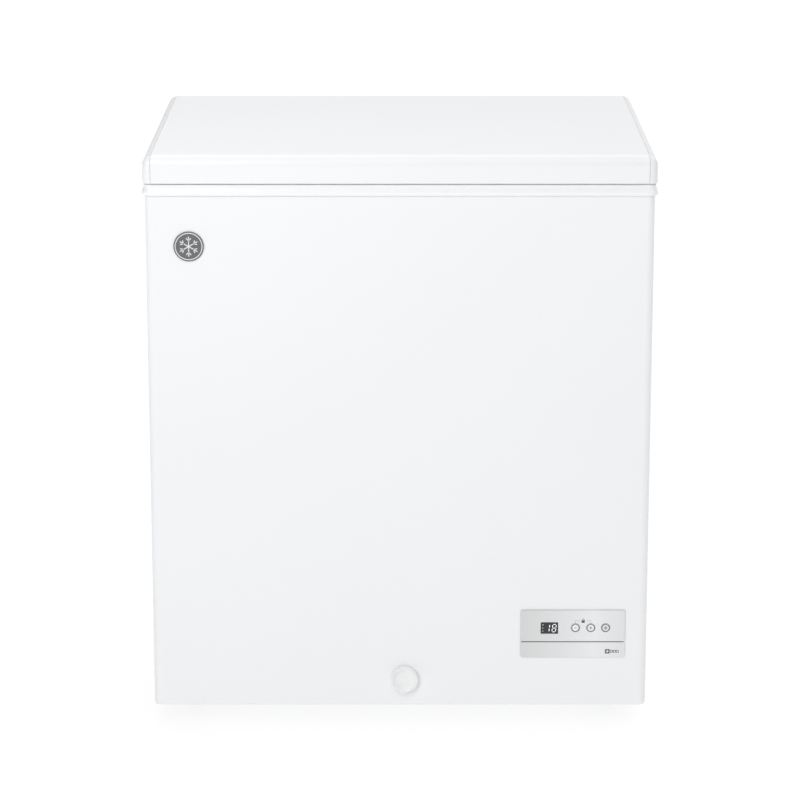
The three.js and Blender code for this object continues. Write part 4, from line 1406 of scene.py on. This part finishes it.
def make_basket():
    """Coated wire: a stout rim, hoops, rows of U-shaped wires both ways and four hooks on the collar."""
    low, high = box("basket")
    rim_wire, wire, hook_wire = 2.4, 1.5, 1.3
    rim_top, hook_reach = 785, 18
    corner, draft, step = 20, 12, 23
    rim_z = rim_top - rim_wire
    bottom = low.z + 3 * wire
    depth = rim_z - bottom
    left, right = low.x + rim_wire, high.x - rim_wire
    front, back = low.y + hook_reach + rim_wire, high.y - hook_reach - rim_wire
    tubes = []

    def hoop(z, radius, sides=8):
        inset = draft * (rim_z - z) / depth
        outline = rounded_loop(grown((left, right, front, back), -inset), (corner, corner), 8)
        tubes.append(tube_shape([(x, y, z) for x, y in outline], radius, sides, True))

    def wires(along, across, floor, stand):
        """U-shaped wires, hung from the rim side by side."""
        start, end = along[0] + corner, along[1] - corner
        near, far = across[0] + 1.2 * wire, across[1] - 1.2 * wire
        bends = [(near, rim_z), (near + draft, floor), (far - draft, floor), (far, rim_z)]
        count = round((end - start) / step)
        for i in range(count + 1):
            spot = start + (end - start) * i / count
            tubes.append(tube_shape(bent_path([stand(spot, v, z) for v, z in bends], 9), wire))

    hoop(rim_z, rim_wire, 12)
    for z in (bottom + 0.3 * depth, bottom + 0.62 * depth, bottom + wire):
        hoop(z, wire)
    wires((left, right), (front, back), bottom, UP)
    wires((front, back), (left, right), bottom - 2 * wire, lambda y, x, z: (x, y, z))
    half = 4 - hook_wire
    level = collar_high.z + 0.3 + hook_wire
    root = rim_top - 22
    for x in (low.x + 39, high.x - 39):
        for edge, way in ((front, -1), (back, 1)):
            stem = edge + way * (rim_wire + hook_wire)
            tip = stem + way * (hook_reach - 3.2)
            corners = [(x - half, stem, root), (x - half, stem, level), (x - half, tip, level)]
            corners += [(x + half, tip, level), (x + half, stem, level), (x + half, stem, root)]
            tubes.append(tube_shape(bent_path(corners, 2.6), hook_wire))
    piece("wire_basket", joined(tubes), "wire_coating", "hanging_basket", "basket")


# ---- Compressor ----

def make_compressor():
    """A welded black can on four rubber mounts, with its pipe stub, and the filter drier."""
    low, high = box("compressor_shell")
    spot = centre("compressor_shell")
    radius = (high.x - low.x) / 2 - 4
    drawn = 62
    can = [(0, 0), (36, 0), (42, 1.2), (52, 5.6), (58, 12), (61, 20), (drawn, 28), (drawn, 69.4), (66, 69.7)]
    can += [(66, 76.3), (drawn, 76.6), (drawn, 106), (61.2, 114), (58, 122), (52, 130), (43, 137)]
    can += [(30, 142.4), (14, 144.5), (0, 144.7)]
    profile = shifted([(reach * radius / drawn, height) for reach, height in can], low.z)
    turned("compressor_can", profile, spot, "z", 72, "black_enamel", replaced="compressor_shell")
    seam = low.z + 77
    bead = [(x, y, seam) for x, y in arc(spot.x, spot.y, radius + 0.6, 0, 360, 72)][:-1]
    stub = [(spot.x - 30, spot.y + 20, high.z - 14), (spot.x - 34, spot.y + 23, high.z - 1)]
    shapes = [tube_shape(bead, 1.6, 10, True), tube_shape(stub, 3, 12)]
    piece("compressor_weld", joined(shapes), "black_enamel")

    rubber = [(0, 0), (10, 0), (11, 0.8), (11, 3), (10.2, 3.8), (11, 4.6), (11, 8), (10, 9), (7, 9)]
    rubber += [(7, 12.3), (9.4, 12.3), (10, 13), (9.6, 17), (9, 18), (0, 18)]
    mounts = [f"compressor_grommet_{i}" for i in range(1, 5)]
    shapes, bolts = [], []
    for mount in mounts:
        foot = box(mount)[0].z
        place = centre(mount)
        shapes.append(lathe_shape(shifted(rubber, foot), (place.x, place.y, 0), "z", 40))
        bolts.append((place.x, place.y, foot + 18))
    piece("mount_rubbers", joined(shapes), "black_rubber", replaced=mounts)
    screws("mount_bolts", bolts, (0, 0, 1), radius=5)

    low, high = box("filter_drier")
    half = [(0, 0), (2.6, 0), (2.6, 7), (3.4, 9), (6.8, 13), (8, 16), (8, 24), (7.6, 24.6), (7.6, 25.4)]
    profile = shifted(half + [(8, 26)], low.z)
    profile += [(reach, low.z + high.z - z) for reach, z in profile[::-1]]
    turned("drier_can", profile, centre("filter_drier"), "z", 40, "copper", replaced="filter_drier")


make_bezel()
make_display()
make_keys()
make_panel_print()
make_control_inside()
make_badge()
make_drain()
for name in ("left", "right"):
    make_supports(name)
make_basket()
make_compressor()


# ---- Last steps ----

def keep_flats_flat():
    """Lets the large faces of every piece decide how it is shaded."""
    for made in COLLECTION.all_objects:
        if made.type == "MESH" and "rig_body" in made and not made.modifiers:
            normals = made.modifiers.new("normals", "WEIGHTED_NORMAL")
            normals.keep_sharp = True


keep_flats_flat()
